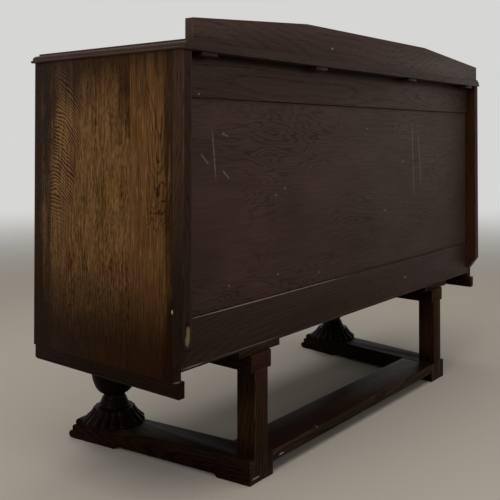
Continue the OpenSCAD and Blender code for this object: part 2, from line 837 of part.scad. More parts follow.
// Turned line of the leg over the bell: collar, neck, cup, cover and the core inside the cap
turn_steps = 10;
module turned_shaft() {
    band_z = bell_h + collar_band_h;
    bowl_z = cup_foot_z + cup_foot_h;
    cup_line = [
        for (i = [0:turn_steps])
            let (a = 90 * i / turn_steps)
            [cup_foot_r + (cup_r - cup_foot_r) * sin(a), bowl_z + cup_h * (1 - cos(a))]
    ];
    cover_foot_z = cup_z + lid_groove;
    cover_line = [
        for (i = [0:turn_steps])
            let (a = 90 * i / turn_steps)
            [cover_top_r + (cup_r - cover_top_r) * cos(a), cover_foot_z + (cover_z - cover_foot_z) * sin(a)]
    ];
    rotate_extrude() polygon(concat(
        [[0, bell_h], [collar_r, bell_h], [collar_r, band_z], [collar_slope_r, band_z]],
        [[neck_r, neck_z], [neck_r, cup_foot_z], [cup_foot_r, cup_foot_z]],
        cup_line,
        [[cup_r - lid_groove, cup_z], [cup_r - lid_groove, cover_foot_z]],
        cover_line,
        [[cap_fillet_r, cover_z], [cap_fillet_r, leg_h], [0, leg_h]]
    ));
}

module front_leg() {
    color(stand_oak) translate([leg_x, leg_y, runner_h]) {
        turned_shaft();
        translate([-cap_w / 2, -cap_w / 2, cap_z]) cube([cap_w, cap_w, cap_h]);
    }
}

module front_leg_left() { on_side(-1) front_leg(); }
module front_leg_right() { on_side(1) front_leg(); }

// Knuckles of one hinge: even ones belong to the fixed leaf, odd ones to the door
module knuckles(z, first, bore) {
    for (i = [first:2:knuckle_count - 1]) {
        z0 = z + i * (knuckle_h + knuckle_gap);
        translate([hinge_x, hinge_y, z0]) difference() {
            cylinder(r = knuckle_r, h = knuckle_h);
            if (bore > 0) translate([0, 0, -cut]) cylinder(r = bore, h = knuckle_h + 2 * cut);
        }
    }
}

// A leaf with the tabs that join it to its knuckles
module leaf(z, x0, first) {
    difference() {
        union() {
            block([x0, front_y, z], [x0 + leaf_t, front_y + leaf_w, z + hinge_h]);
            for (i = [first:2:knuckle_count - 1]) {
                z0 = z + i * (knuckle_h + knuckle_gap);
                block([x0, hinge_y, z0], [x0 + leaf_t, front_y + cut, z0 + knuckle_h]);
            }
        }
        translate([hinge_x, hinge_y, z - cut])
            cylinder(r = hinge_pin_r + pin_clearance, h = hinge_h + 2 * cut);
    }
}

module hinges_fixed() {
    color(brass) for (side = [-1, 1], z = hinge_zs) on_side(side) union() {
        knuckles(z, 0, 0);
        leaf(z, side_inner_x, 0);
        translate([hinge_x, hinge_y, z]) cylinder(r = hinge_pin_r, h = hinge_h);
    }
}

module door_hinges() {
    color(brass) for (z = hinge_zs) union() {
        knuckles(z, 1, hinge_pin_r + pin_clearance);
        leaf(z, door_x1 - leaf_t, 1);
    }
}

module door_left_hinges() { on_side(-1) door_hinges(); }
module door_right_hinges() { on_side(1) door_hinges(); }

// Groove round the inside of a door frame
module door_groove() {
    block([panel_x0 - panel_play, front_y + groove_setback, panel_z0 - panel_play],
          [panel_x1 + panel_play, front_y + groove_setback + panel_edge_t, panel_z1 + panel_play]);
}

// The tenon of a rail whose lower edge is at z, or with play its mortise in both stiles
module tenon(z, play) {
    mid_y = front_y + groove_setback + panel_edge_t / 2;
    block([frame_x0 - tenon_len - play, mid_y - tenon_t / 2 - play, z + tenon_shoulder - play],
          [frame_x1 + tenon_len + play, mid_y + tenon_t / 2 + play, z + door_rail_w - tenon_shoulder + play]);
}

// Two stiles and two tenoned rails, with the groove and the hinge recesses
module door_frame() {
    rail_zs = [door_z0, door_z1 - door_rail_w];
    color(oak) {
        difference() {
            union() {
                block([door_x0, front_y, door_z0], [frame_x0, front_inner_y, door_z1]);
                block([frame_x1, front_y, door_z0], [door_x1, front_inner_y, door_z1]);
            }
            door_groove();
            for (z = rail_zs) tenon(z, joint_gap);
            for (z = hinge_zs)
                block([door_x1 - leaf_t, front_y - cut, z], [door_x1 + cut, front_y + leaf_w, z + hinge_h]);
        }
        for (z = rail_zs) difference() {
            union() {
                block([frame_x0 + joint_gap, front_y, z],
                      [frame_x1 - joint_gap, front_inner_y, z + door_rail_w]);
                tenon(z, 0);
            }
            door_groove();
        }
    }
}

module door_left_frame() { on_side(-1) door_frame(); }
module door_right_frame() { on_side(1) door_frame(); }

// Section of a fielded panel from low to high edge, as [place, y]
function panel_section(low, high) = let (
    face = front_y + groove_setback,
    back = face + panel_edge_t,
    edge = door_groove_d + panel_sight,
    field = face - bevel_rise - field_step
) [
    [low, back], [low, face], [low + edge, face],
    [low + edge + bevel_w, face - bevel_rise], [low + edge + bevel_w, field],
    [high - edge - bevel_w, field], [high - edge - bevel_w, face - bevel_rise],
    [high - edge, face], [high, face], [high, back]
];

module door_panel() {
    color(oak) intersection() {
        translate([0, 0, panel_z0]) linear_extrude(panel_z1 - panel_z0)
            polygon(panel_section(panel_x0, panel_x1));
        along_x(panel_x0, panel_x1)
            polygon([for (p = panel_section(panel_z0, panel_z1)) [p[1], p[0]]]);
    }
}

module door_left_panel() { on_side(-1) door_panel(); }
module door_right_panel() { on_side(1) door_panel(); }

// Centres of the dovetails up one corner of a drawer of the given height
function tail_centres(z, height) = let (
    count = max(2, floor(height / (2 * tail_w + 2 * tail_spread))),
    pitch = height / count
) [for (i = [0:count - 1]) z + pitch * (i + 0.5)];

// The dovetails of one drawer side, pointing forward into the front
module dovetails(z, height) {
    for (centre = tail_centres(z, height)) along_x(drawer_half_w - box_t, drawer_half_w) polygon([
        [front_inner_y, centre - tail_w / 2 + tail_spread],
        [front_inner_y - tail_len, centre - tail_w / 2],
        [front_inner_y - tail_len, centre + tail_w / 2],
        [front_inner_y, centre + tail_w / 2 - tail_spread]
    ]);
}

// Box of a drawer: [lower edge, height] of its sides
function box_span(opening) = [opening[0] + slide_clearance, opening[1] - box_top_gap];

// Height span of the ply bottom of a drawer
function bottom_span(opening) = let (z = box_span(opening)[0] + box_bottom_up) [z, z + box_bottom_t];

// A drawer front, socketed for the dovetails and grooved for the bottom
module drawer_front(opening) {
    box = box_span(opening);
    bottom = bottom_span(opening);
    color(oak) difference() {
        block([-drawer_half_w, front_y, opening[0] + reveal],
              [drawer_half_w, front_inner_y, opening[0] + opening[1] - reveal]);
        for (side = [-1, 1]) on_side(side) dovetails(box[0], box[1]);
        block([-drawer_half_w + box_t - box_groove_d, front_inner_y - box_groove_d, bottom[0]],
              [drawer_half_w - box_t + box_groove_d, front_inner_y + cut, bottom[1]]);
    }
}

module drawer_box(opening) {
    box = box_span(opening);
    bottom = bottom_span(opening);
    inner = drawer_half_w - box_t;
    groove = box_groove_d - panel_play / 2;
    color(drawer_wood) {
        for (side = [-1, 1]) on_side(side) difference() {
            union() {
                block([inner, front_inner_y, box[0]], [drawer_half_w, drawer_rear_y, box[0] + box[1]]);
                dovetails(box[0], box[1]);
            }
            block([inner - cut, front_inner_y - tail_len - cut, bottom[0] - joint_gap],
                  [inner + box_groove_d, drawer_rear_y + cut, bottom[1] + joint_gap]);
        }
        block([-inner + joint_gap, drawer_rear_y - box_t, bottom[1] + joint_gap],
              [inner - joint_gap, drawer_rear_y, box[0] + box[1] - box_t]);
        block([-inner - groove, front_inner_y - groove, bottom[0]],
              [inner + groove, drawer_rear_y, bottom[1]]);
    }
}

module drawer_top_front() { drawer_front(top_opening); }
module drawer_middle_front() { drawer_front(middle_opening); }
module drawer_bottom_front() { drawer_front(bottom_opening); }
module drawer_top_box() { drawer_box(top_opening); }
module drawer_middle_box() { drawer_box(middle_opening); }
module drawer_bottom_box() { drawer_box(bottom_opening); }

// Outline of a backplate, seen from the front, its origin at the pin
module plate_outline() {
    circle(plate_w / 2);
    translate([0, plate_w / 2]) circle(plate_crest_r);
    translate([-plate_waist_w / 2, -plate_foot_down]) square([plate_waist_w, plate_foot_down]);
    translate([0, -plate_foot_down]) circle(plate_foot_r);
    translate([0, -plate_foot_down - plate_foot_r]) circle(plate_tip_r);
}

// A backplate with two ears and the pin that the drop swings on
module handle_plate(x, z) {
    ear_x = eye_w / 2 + ear_play;
    color(brass) translate([x, handle_y, z]) {
        translate([0, handle_out, 0]) rotate([90, 0, 0]) linear_extrude(plate_t) plate_outline();
        for (side = [-1, 1]) on_side(side) {
            translate([ear_x, 0, 0]) rotate([0, 90, 0]) cylinder(r = eye_r, h = ear_t);
            block([ear_x, 0, -eye_r], [ear_x + ear_t, handle_out - plate_t / 2, eye_r]);
        }
        translate([-ear_x - ear_t / 2, 0, 0]) rotate([0, 90, 0])
            cylinder(r = handle_pin_r, h = 2 * ear_x + ear_t);
    }
}

// A pear-shaped drop hanging from its eye, fullest below its middle
pear_low = 0.25;
module handle_drop(x, z) {
    pear = [for (i = [0:turn_steps])
        let (t = i / turn_steps)
        let (swell = sin(180 * t) * (1 - pear_low * cos(180 * t)))
        [shank_r * (1 - t) + (drop_r - shank_r / 2) * swell, -shank_len - (drop_len - shank_len) * t]];
    color(brass) translate([x, handle_y, z]) difference() {
        union() {
            translate([-eye_w / 2, 0, 0]) rotate([0, 90, 0]) cylinder(r = eye_r, h = eye_w);
            rotate_extrude() polygon(concat([[0, -handle_pin_r], [shank_r, -handle_pin_r]], pear));
        }
        translate([-eye_w, 0, 0]) rotate([0, 90, 0])
            cylinder(r = handle_pin_r + pin_clearance, h = 2 * eye_w);
    }
}

function drawer_handle_z(opening) = opening[0] + opening[1] / 2 + drop_len / 2;

module door_left_plate() { on_side(-1) handle_plate(door_handle_x, door_handle_z); }
module door_right_plate() { on_side(1) handle_plate(door_handle_x, door_handle_z); }
module door_left_drop() { on_side(-1) handle_drop(door_handle_x, door_handle_z); }
module door_right_drop() { on_side(1) handle_drop(door_handle_x, door_handle_z); }
module drawer_top_plate() { handle_plate(0, drawer_handle_z(top_opening)); }
module drawer_middle_plate() { handle_plate(0, drawer_handle_z(middle_opening)); }
module drawer_bottom_plate() { handle_plate(0, drawer_handle_z(bottom_opening)); }
module drawer_top_drop() { handle_drop(0, drawer_handle_z(top_opening)); }
module drawer_middle_drop() { handle_drop(0, drawer_handle_z(middle_opening)); }
module drawer_bottom_drop() { handle_drop(0, drawer_handle_z(bottom_opening)); }

top_board();
gallery();
glue_blocks();
side_left();
side_right();
rear_strip_left();
rear_strip_right();
strip_screws();
back_top_rail();
back_panel();
back_bottom_rail();
bottom_board();
partition_left();
partition_right();
frieze_rail();
bottom_rail();
base_moulding_front();
base_moulding_left();
base_moulding_right();
drawer_rails();
drawer_runners();
stop_blocks();
shelves();
shelf_bearers();
front_bearer();
bearer_left();
bearer_right();
bearer_cleats();
rear_leg_left();
rear_leg_right();
runner_left();
runner_right();
stretcher();
leg_bell_left();
leg_bell_right();
front_leg_left();
front_leg_right();
hinges_fixed();
door_left_frame();
door_left_panel();
door_left_hinges();
door_left_plate();
door_left_drop();
door_right_frame();
door_right_panel();
door_right_hinges();
door_right_plate();
door_right_drop();
drawer_top_front();
drawer_top_box();
drawer_top_plate();
drawer_top_drop();
drawer_middle_front();
drawer_middle_box();
drawer_middle_plate();
drawer_middle_drop();
drawer_bottom_front();
drawer_bottom_box();
drawer_bottom_plate();
drawer_bottom_drop();
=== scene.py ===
# %% [markdown]
# An oak sideboard on a sledge stand, seen from behind and from its right-hand end.
# The CAD frame gives every piece its size and place. This file gives each piece its looks:
# eased edges, wood grain that follows each board, worn polish and aged brass. First the frame
# is loaded.

# %% Load the frame
import json
import math
import random

import bpy
from mathutils import Matrix, Vector

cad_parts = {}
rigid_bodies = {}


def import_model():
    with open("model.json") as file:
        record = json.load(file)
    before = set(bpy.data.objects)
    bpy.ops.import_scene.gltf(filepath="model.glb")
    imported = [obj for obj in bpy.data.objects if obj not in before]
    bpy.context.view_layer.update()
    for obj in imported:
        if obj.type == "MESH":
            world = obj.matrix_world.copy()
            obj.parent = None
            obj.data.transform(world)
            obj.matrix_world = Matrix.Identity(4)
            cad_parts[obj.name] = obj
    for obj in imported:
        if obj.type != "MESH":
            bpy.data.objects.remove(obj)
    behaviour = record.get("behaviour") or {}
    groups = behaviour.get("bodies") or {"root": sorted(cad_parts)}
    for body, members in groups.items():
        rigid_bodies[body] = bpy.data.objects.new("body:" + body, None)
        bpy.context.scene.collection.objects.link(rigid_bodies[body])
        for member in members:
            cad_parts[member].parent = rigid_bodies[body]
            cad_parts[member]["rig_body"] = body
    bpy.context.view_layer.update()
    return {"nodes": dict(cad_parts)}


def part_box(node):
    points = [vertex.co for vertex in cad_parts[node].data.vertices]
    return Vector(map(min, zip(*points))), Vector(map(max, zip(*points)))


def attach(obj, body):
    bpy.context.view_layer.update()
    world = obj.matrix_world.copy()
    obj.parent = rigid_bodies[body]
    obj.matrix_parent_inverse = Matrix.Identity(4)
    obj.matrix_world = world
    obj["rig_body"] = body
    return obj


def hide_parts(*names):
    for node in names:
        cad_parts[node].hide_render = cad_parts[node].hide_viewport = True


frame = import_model()
nodes = frame["nodes"]
bpy.ops.object.select_all(action="DESELECT")

# %% [markdown]
# A node material is a little graph, and a few helpers keep the graphs short to write. Colours
# are picked from a photo as sRGB hex, but shaders work in linear light, so one function converts
# them. One function adds a node with its settings and its links. Two more write out what comes
# back in many graphs: a sum of parts that each have a weight, and masks that hold together.

# %% Colour and node helpers
MM = 0.001
# Settings: a ramp with soft ends, a mix of two colours, and a colour multiplied by another
SMOOTH = {"interpolation_type": "SMOOTHSTEP"}
RGBA = {"data_type": "RGBA"}
FILTER = {"data_type": "RGBA", "blend_type": "MULTIPLY"}


def linear(hex_colour):
    """An sRGB colour such as "#3a2216" as linear red, green, blue and alpha."""
    parts = [int(hex_colour[i:i + 2], 16) / 255 for i in (1, 3, 5)]
    return [c / 12.92 if c <= 0.04045 else ((c + 0.055) / 1.055) ** 2.4 for c in parts] + [1]


def shown(sockets, name=None):
    """The socket at a number, or the first one in use, of a given name if one is given."""
    if isinstance(name, int):
        return sockets[name]
    return next(s for s in sockets if s.enabled and name in (None, s.name))


def add_node(tree, kind, inputs, **settings):
    """Adds a shader node. An input is a value, a socket, or a node for its first output in use."""
    node = tree.nodes.new("ShaderNode" + kind)
    for name, value in settings.items():
        setattr(node, name, value)
    for name, value in inputs.items():
        if isinstance(value, bpy.types.Node):
            value = shown(value.outputs)
        if isinstance(value, bpy.types.NodeSocket):
            tree.links.new(value, shown(node.inputs, name))
        else:
            shown(node.inputs, name).default_value = value
    return node


def weighed(tree, parts, start=0.0):
    """The start plus each part times its weight. Each of them may be a number or a node."""
    for part, weight in parts:
        start = add_node(tree, "Math", {0: part, 1: weight, 2: start}, operation="MULTIPLY_ADD")
    return start


def where_all(tree, first, *others):
    """Masks multiplied together: 1 only where every one of them is 1."""
    for mask in others:
        first = add_node(tree, "Math", {0: first, 1: mask}, operation="MULTIPLY")
    return first


def new_material(name):
    """An empty material and its node tree."""
    material = bpy.data.materials.new(name)
    material.use_nodes = True
    material.node_tree.nodes.clear()
    return material, material.node_tree


print("stained oak in linear light:", [round(c, 4) for c in linear("#3a2216")])

# %% [markdown]
# The camera stands where the photo was taken from. Its place and direction were worked out from
# the corners of the carcass in the photo, as a distance behind the rear face of the carcass.
# It looks up by less than a degree, and the frame is lowered with a vertical shift, which keeps
# the upright edges upright.

# %% Camera
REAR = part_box("rear_strip_right")[1].y
CAMERA_PLACE = Vector((1.6961, REAR + 0.96187, 0.7205))
CAMERA_LOOK = Vector((-0.7810567, -0.62425518, 0.01599701))
FOCAL_PIXELS = 761.5
IMAGE_PIXELS = 500
HORIZON_PIXEL = 123.8

camera_data = bpy.data.cameras.new("camera")
camera_data.sensor_width = 36
camera_data.lens = camera_data.sensor_width * FOCAL_PIXELS / IMAGE_PIXELS
camera_data.shift_y = (HORIZON_PIXEL - IMAGE_PIXELS / 2) / IMAGE_PIXELS
camera = bpy.data.objects.new("camera", camera_data)
bpy.context.scene.collection.objects.link(camera)
turn = CAMERA_LOOK.to_track_quat("-Z", "Y").to_matrix()
camera.matrix_world = Matrix.Translation(CAMERA_PLACE) @ turn.to_4x4()
bpy.context.scene.camera = camera
bpy.context.scene.view_settings.view_transform = "Standard"
print("lens:", round(camera_data.lens, 2), "shift:", round(camera_data.shift_y, 3))

# %% [markdown]
# The room is a pale one lit from its ceiling. The world shows the wall's colour to the camera and
# to reflections, and gives a little plain light to the rest. Most of the light comes from a wide
# lamp overhead, which is why everything under the top, the carcass and the stand is dark. A lamp
# beyond the end panel makes that end brighter than the back, as in the photo.

# %% World and lamps
WALL_COLOUR = "#d6d6d4"
AMBIENT_COLOUR = "#f4f5f6"
AMBIENT_STRENGTH = 0.2
# Each lamp's name, place, aim, width and height in metres, and power in watts
LAMPS = [("ceiling", (0.3, 0.3, 3.4), (0.3, 0.3, 0), 5.0, 4.0, 100),
         ("end_window", (3.4, 0.2, 1.7), (0.6, 0.0, 0.5), 2.0, 1.6, 38),
         ("rear_fill", (-0.4, 3.6, 1.8), (0, 0.2, 0.5), 2.6, 1.8, 23)]


def seen_by(tree, *rays):
    """1 for a light path of one of these kinds, and 0 for any other."""
    path = add_node(tree, "LightPath", {})
    seen = 0.0
    for ray in rays:
        seen = add_node(tree, "Math", {0: seen, 1: path.outputs[ray]}, operation="MAXIMUM")
    return seen


world = bpy.data.worlds.new("pale_room")
world.use_nodes = True
bpy.context.scene.world = world
tree = world.node_tree
tree.nodes.clear()
seen = seen_by(tree, "Is Camera Ray", "Is Glossy Ray", "Is Transmission Ray")
wall = add_node(tree, "Background", {"Color": linear(WALL_COLOUR)})
ambient = add_node(tree, "Background",
                   {"Color": linear(AMBIENT_COLOUR), "Strength": AMBIENT_STRENGTH})
both = add_node(tree, "MixShader", {0: seen, 1: ambient, 2: wall})
add_node(tree, "OutputWorld", {"Surface": both})
for name, place, aim, width, height, power in LAMPS:
    data = bpy.data.lights.new(name, "AREA")
    data.shape = "RECTANGLE"
    data.size = width
    data.size_y = height
    data.energy = power
    lamp = bpy.data.objects.new(name, data)
    lamp.location = place
    lamp.rotation_euler = (Vector(aim) - Vector(place)).to_track_quat("-Z", "Y").to_euler()
    bpy.context.scene.collection.objects.link(lamp)
print("lamps:", [lamp[0] for lamp in LAMPS])

# %% [markdown]
# The floor is a round pale sheet. Its middle is a plain matt surface that takes the shadow.
# Far from the object, and only for the camera and reflections, it turns into the wall's colour,
# so no edge or horizon line shows from any side.

# %% Floor
FLOOR_RADIUS = 9
FLOOR_DROP = 0.5 * MM
FADE_START, FADE_END = 1.6, 6.0

bpy.ops.mesh.primitive_circle_add(vertices=96, radius=FLOOR_RADIUS, fill_type="NGON",
                                  location=(0, 0, -FLOOR_DROP))
bpy.ops.object.transform_apply()
floor = bpy.context.object
floor.name = "floor"
material, tree = new_material("matt_pale_floor")
place = add_node(tree, "TexCoord", {}).outputs["Object"]
distance = add_node(tree, "VectorMath", {0: place}, operation="LENGTH").outputs["Value"]
far = add_node(tree, "MapRange",
               {"Value": distance, "From Min": FADE_START, "From Max": FADE_END}, **SMOOTH)
fade = where_all(tree, far, seen_by(tree, "Is Camera Ray", "Is Glossy Ray"))
matt = add_node(tree, "BsdfDiffuse", {"Color": linear("#b2aa9d")})
wall = add_node(tree, "Emission", {"Color": linear(WALL_COLOUR)})
mixed = add_node(tree, "MixShader", {0: fade, 1: matt, 2: wall})
add_node(tree, "OutputMaterial", {"Surface": mixed})
floor.data.materials.append(material)
print("floor radius:", FLOOR_RADIUS)

# %% [markdown]
# Real wood is a solid stack of growth rings with open pores, cut into boards. A picture of grain
# wrapped round a piece would not match at its corners, so the grain here is worked out in the
# round: each board carries its own coordinates, with the third one running along the board.
# Pores, fibres and clouds of colour are all noise, drawn out to the size of each. Knocks are
# small ragged marks at places of their own.

# %% Noise and marks
MARK_START, MARK_FULL, MARK_STRENGTH = 1.6, 1.2, 0.9


def stretched_noise(tree, place, size, detail=0, low=0, high=1):
    """Noise drawn out to a size along each axis, in mm, and stretched from low to high."""
    scaled = add_node(tree, "VectorMath", {0: place, 1: [s * MM for s in size]},
                      operation="DIVIDE")
    noise = add_node(tree, "TexNoise", {"Vector": scaled, "Scale": 1, "Detail": detail})
    return add_node(tree, "MapRange", {"Value": noise, "From Min": low, "From Max": high})


def pale_marks(tree, colour, place, marks, mark_colour):
    """Mixes small ragged marks into a colour. A mark is its middle and its half sizes in mm."""
    ragged = stretched_noise(tree, place, (2, 2, 2), 2)
    for middle, half in marks:
        local = add_node(tree, "Mapping", {"Vector": place, "Location": [v * MM for v in middle],
                                           "Scale": [v * MM for v in half]}, vector_type="TEXTURE")
        far = add_node(tree, "VectorMath", {0: local}, operation="LENGTH").outputs["Value"]
        mask = add_node(tree, "MapRange", {"Value": weighed(tree, [(far, 1)], ragged),
                                           "From Min": MARK_START, "From Max": MARK_FULL,
                                           "To Max": MARK_STRENGTH})
        colour = add_node(tree, "Mix", {"Factor": mask, "A": colour, "B": linear(mark_colour)},
                          **RGBA)
    return colour


print("a mark covers", MARK_STRENGTH, "of the wood under it")

# %% [markdown]
# The rings are distances from a wandering centre line, which gives straight lines on one face
# and arches on another. Oak's pores crowd at the start of each ring. They are 0.3 mm wide in
# life and are drawn wider here, because a finer one would vanish in the render.

# %% Oak in the round
RING_WIDTH = 8 * MM
PITH_WANDER = 60 * MM
WANDER_LENGTH = 700 * MM
PORE_DEPTH = 0.4 * MM
# Width, thickness and length of what each noise draws, in mm
PORE_SIZE = (1.8, 1.8, 22)
FIBRE_SIZE = (3.5, 3.5, 220)
CLOUD_SIZE = (70, 70, 380)
OAK_IOR = 1.5
# The tone at which both wood colours show alike, and how far it goes either way
TONE_MIDDLE, TONE_REACH = 1.08, 0.25
RUBS_PER_METRE = 22


def finished_wood(tree, wood, rough, sheen, bump):
    """The last nodes of each wood: its surface, from its colour, roughness, sheen and relief."""
    skin = add_node(tree, "BsdfPrincipled",
                    {"Base Color": wood, "Roughness": rough, "IOR": OAK_IOR,
                     "Specular IOR Level": sheen, "Normal": bump})
    add_node(tree, "OutputMaterial", {"Surface": skin})


def oak_finish(name, light, dark, pore, worn, roughness=0.42, sheen=0.2, contrast=0.6,
               relief=0.3, marks=(), bare_and_highlight="#a08a70"):
    """Oak under a finish: two tones of wood, and its pores, rubbed edges, bare marks and painted
    highlights.
    """
    material, tree = new_material(name)
    board = add_node(tree, "Attribute", {}, attribute_name="board").outputs["Vector"]

    # Growth rings: how far a point is from the wandering centre line, in ring widths
    along = add_node(tree, "VectorMath", {0: board, 1: (0.8, 0.8, 1 / WANDER_LENGTH)},
                     operation="MULTIPLY")
    wander = add_node(tree, "TexNoise",
                      {"Vector": along, "Scale": 1, "Detail": 1, "Roughness": 0.4})
    shift = (PITH_WANDER, 4 * PITH_WANDER, 0)
    shift = add_node(tree, "VectorMath", {0: wander.outputs["Color"], 1: shift, 2: board},
                     operation="MULTIPLY_ADD")
    flat = add_node(tree, "VectorMath", {0: shift, 1: (1, 1, 0)}, operation="MULTIPLY")
    reach = add_node(tree, "VectorMath", {0: flat}, operation="LENGTH").outputs["Value"]
    rings = add_node(tree, "Math", {0: reach, 1: RING_WIDTH}, operation="DIVIDE")
    ring = add_node(tree, "Math", {0: rings}, operation="FRACT")
    early = add_node(tree, "MapRange", {"Value": ring, "From Min": 0.55, "From Max": 0.05},
                     **SMOOTH)

    # Open pores: long thin specks, mostly in the early wood
    specks = stretched_noise(tree, board, PORE_SIZE, 0, 0.5, 0.7)
    crowd = add_node(tree, "MapRange", {"Value": early, "To Min": 0.3, "To Max": 0.9})
    pores = where_all(tree, specks, crowd)

    # Fibres and clouds of colour
    fibres = stretched_noise(tree, board, FIBRE_SIZE, 2)
    clouds = stretched_noise(tree, board, CLOUD_SIZE, 2)
    tone = weighed(tree, [(clouds, 1), (early, 0.2)], fibres)
    limit = TONE_REACH / contrast
    tone = add_node(tree, "MapRange", {"Value": tone, "From Min": TONE_MIDDLE - limit,
                                       "From Max": TONE_MIDDLE + limit})
    wood = add_node(tree, "Mix", {"Factor": tone, "A": linear(light), "B": linear(dark)}, **RGBA)
    wood = add_node(tree, "Mix", {"Factor": pores, "A": wood, "B": linear(pore)}, **RGBA)

    # Edges rubbed by handling and knocks, and small marks: places where a knock took the stain
    # off, and on some finishes painted highlights along an edge
    edge = add_node(tree, "Attribute", {}, attribute_name="edge").outputs["Fac"]
    rub = add_node(tree, "TexNoise", {"Vector": board, "Scale": RUBS_PER_METRE, "Detail": 3})
    rub = add_node(tree, "MapRange",
                   {"Value": rub, "From Min": 0.45, "From Max": 0.7, "To Max": 0.8})
    rub = where_all(tree, rub, edge)
    wood = add_node(tree, "Mix", {"Factor": rub, "A": wood, "B": linear(worn)}, **RGBA)
    place = add_node(tree, "TexCoord", {}).outputs["Object"]
    wood = pale_marks(tree, wood, place, marks, bare_and_highlight)

    # The pores are small hollows, rougher than the polish between them
    rough = weighed(tree, [(pores, 0.2), (clouds, 0.2)], roughness - 0.1)
    bump = add_node(tree, "Bump", {"Height": pores, "Strength": relief, "Distance": PORE_DEPTH},
                    invert=True)
    finished_wood(tree, wood, rough, sheen, bump)
    return material


print("growth rings:", RING_WIDTH / MM, "mm, pores:", PORE_SIZE[0], "mm")

# %% [markdown]
# Nobody looks at the back, so its oak is only stained dark red-brown, matt and hardly polished.
# Dust, knocks and old polish have changed it from place to place, and in some places painted
# shade and painted light are laid on. Each such change is a tint: a mask says where, and the
# wood's colour is multiplied there.

# %% Stained oak of the back
# Painted shade under the overhang of the top
OVERHANG_SHADE_TINT = (0.3, 0.27, 0.26, 1)
DARK_FOOT = (0.42, 0.38, 0.34, 1)
BROWN_TOP = (1.4, 1.5, 1.2, 1)
# Painted light on the strip at the far end
FAR_STRIP_PAINTED_LIGHT = (1.7, 1.35, 0.95, 1)


def tint(material, mask, colour):
    """Multiplies the wood's colour by another where the mask, made in the same tree, is 1."""
    tree = material.node_tree
    skin = next(node for node in tree.nodes if node.type == "BSDF_PRINCIPLED")
    wood = skin.inputs["Base Color"].links[0].from_socket
    wood = add_node(tree, "Mix", {"Factor": mask, "A": wood, "B": colour}, **FILTER)
    tree.links.new(shown(wood.outputs), skin.inputs["Base Color"])


rear_mm = REAR / MM
back_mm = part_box("back_bottom_rail")[1].y / MM
rail_foot_mm, rail_top_mm = [corner.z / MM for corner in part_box("back_bottom_rail")]
side_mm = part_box("side_right")[1].x / MM
stained_oak = oak_finish(
    "stained_oak", "#463229", "#2b1d18", "#261a15", "#5d4a3a", sheen=0.08, relief=0.1,
    marks=[((190, rear_mm + 4.5, 924), (3, 4, 2.5)), ((616, back_mm, 801), (2, 3, 2))])
# Painted shade: the top rail is darkened close under the overhang of the top, where its shadow
# falls
carcass_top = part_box("back_top_rail")[1].z
tree = stained_oak.node_tree
place = add_node(tree, "TexCoord", {}).outputs["Object"]
height = add_node(tree, "SeparateXYZ", {0: place}).outputs["Z"]
overhang_shadow = add_node(tree, "MapRange", {"Value": height, "From Min": carcass_top - 22 * MM,
                                    "From Max": carcass_top - 4 * MM}, **SMOOTH)
on_rail = add_node(tree, "Math", {0: height, 1: carcass_top + 0.5 * MM}, operation="LESS_THAN")
tint(stained_oak, where_all(tree, overhang_shadow, on_rail), OVERHANG_SHADE_TINT)
# A darker copy of the same stain, for the bottom rail, the bottom board and the glue blocks
deep_stained_oak = oak_finish(
    "deep_stained_oak", "#35241d", "#20140f", "#20150f", "#5d4a3a", sheen=0.08, relief=0.1,
    # Its first mark is a knock. The pale lines along the top and the foot edge of the bottom rail
    # are painted highlights
    marks=[((-231, back_mm, 329), (4, 6, 3)), ((470, back_mm, rail_top_mm), (200, 3, 1.2)),
           ((230, back_mm, rail_top_mm), (150, 3, 0.7)),
           ((630, back_mm, rail_foot_mm), (32, 3, 1.2)),
           ((470, back_mm, rail_foot_mm), (130, 3, 0.6))], bare_and_highlight="#8a7d72")
# The strips screwed to the rear edges of the sides: a warmer stain, with one patch knocked bare
strip_oak = oak_finish(
    "stained_strip_oak", "#322118", "#1e130e", "#120a07", "#5a4634", sheen=0.05,
    marks=[((674, rear_mm, 362), (5, 6, 11)), ((676, rear_mm, 346), (6, 6, 11)),
           ((672, rear_mm, 352), (3, 6, 13))], bare_and_highlight="#75634b")
# Their outer edges were sanded with the sides: as brown at the top, nearly black at the foot
tree = strip_oak.node_tree
place = add_node(tree, "TexCoord", {}).outputs["Object"]
axes = add_node(tree, "SeparateXYZ", {0: place}).outputs
far_out = add_node(tree, "Math", {0: axes["X"]}, operation="ABSOLUTE")
outer = add_node(tree, "Math", {0: far_out, 1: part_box("side_right")[1].x - MM},
                 operation="GREATER_THAN")
tall = add_node(tree, "MapRange", {"Value": axes["Z"], "From Min": 0.36, "From Max": 0.72},
                **SMOOTH)
warm = add_node(tree, "Mix", {"Factor": tall, "A": DARK_FOOT, "B": BROWN_TOP}, **RGBA)
tint(strip_oak, outer, warm)
# Painted light: the left-hand strip, at the far end, is painted paler where the lamps leave it in
# shade
left_hand = add_node(tree, "Math", {0: axes["X"], 1: 0}, operation="LESS_THAN")
tint(strip_oak, left_hand, FAR_STRIP_PAINTED_LIGHT)
print("oak of the back:", [m.name for m in (stained_oak, deep_stained_oak, strip_oak)])

# %% [markdown]
# The stand and the mouldings were stained nearly black and waxed. Old wax has hardly any gloss,
# so their sheen is set very low. Their wear, and painted light on the rear faces of the stand,
# are tinted in as before, from the way that a face looks and from its height over the floor.

# %% Waxed oak of the stand
# Painted light on the rear faces of the stand
REAR_FACE_PAINTED_LIGHT = (2.2, 2.4, 2.5, 1)
GREY_FILM = (1.15, 1.4, 1.6, 1)
GOLDEN = (1.8, 1.9, 1.2, 1)
# Where the rear legs are rubbed: an axis, and where on it the rubbing starts and is full
RUBBED_LIMITS = [("Y", 0.185, 0.193), ("Z", 0.06, 0.10), ("Z", 0.19, 0.15)]

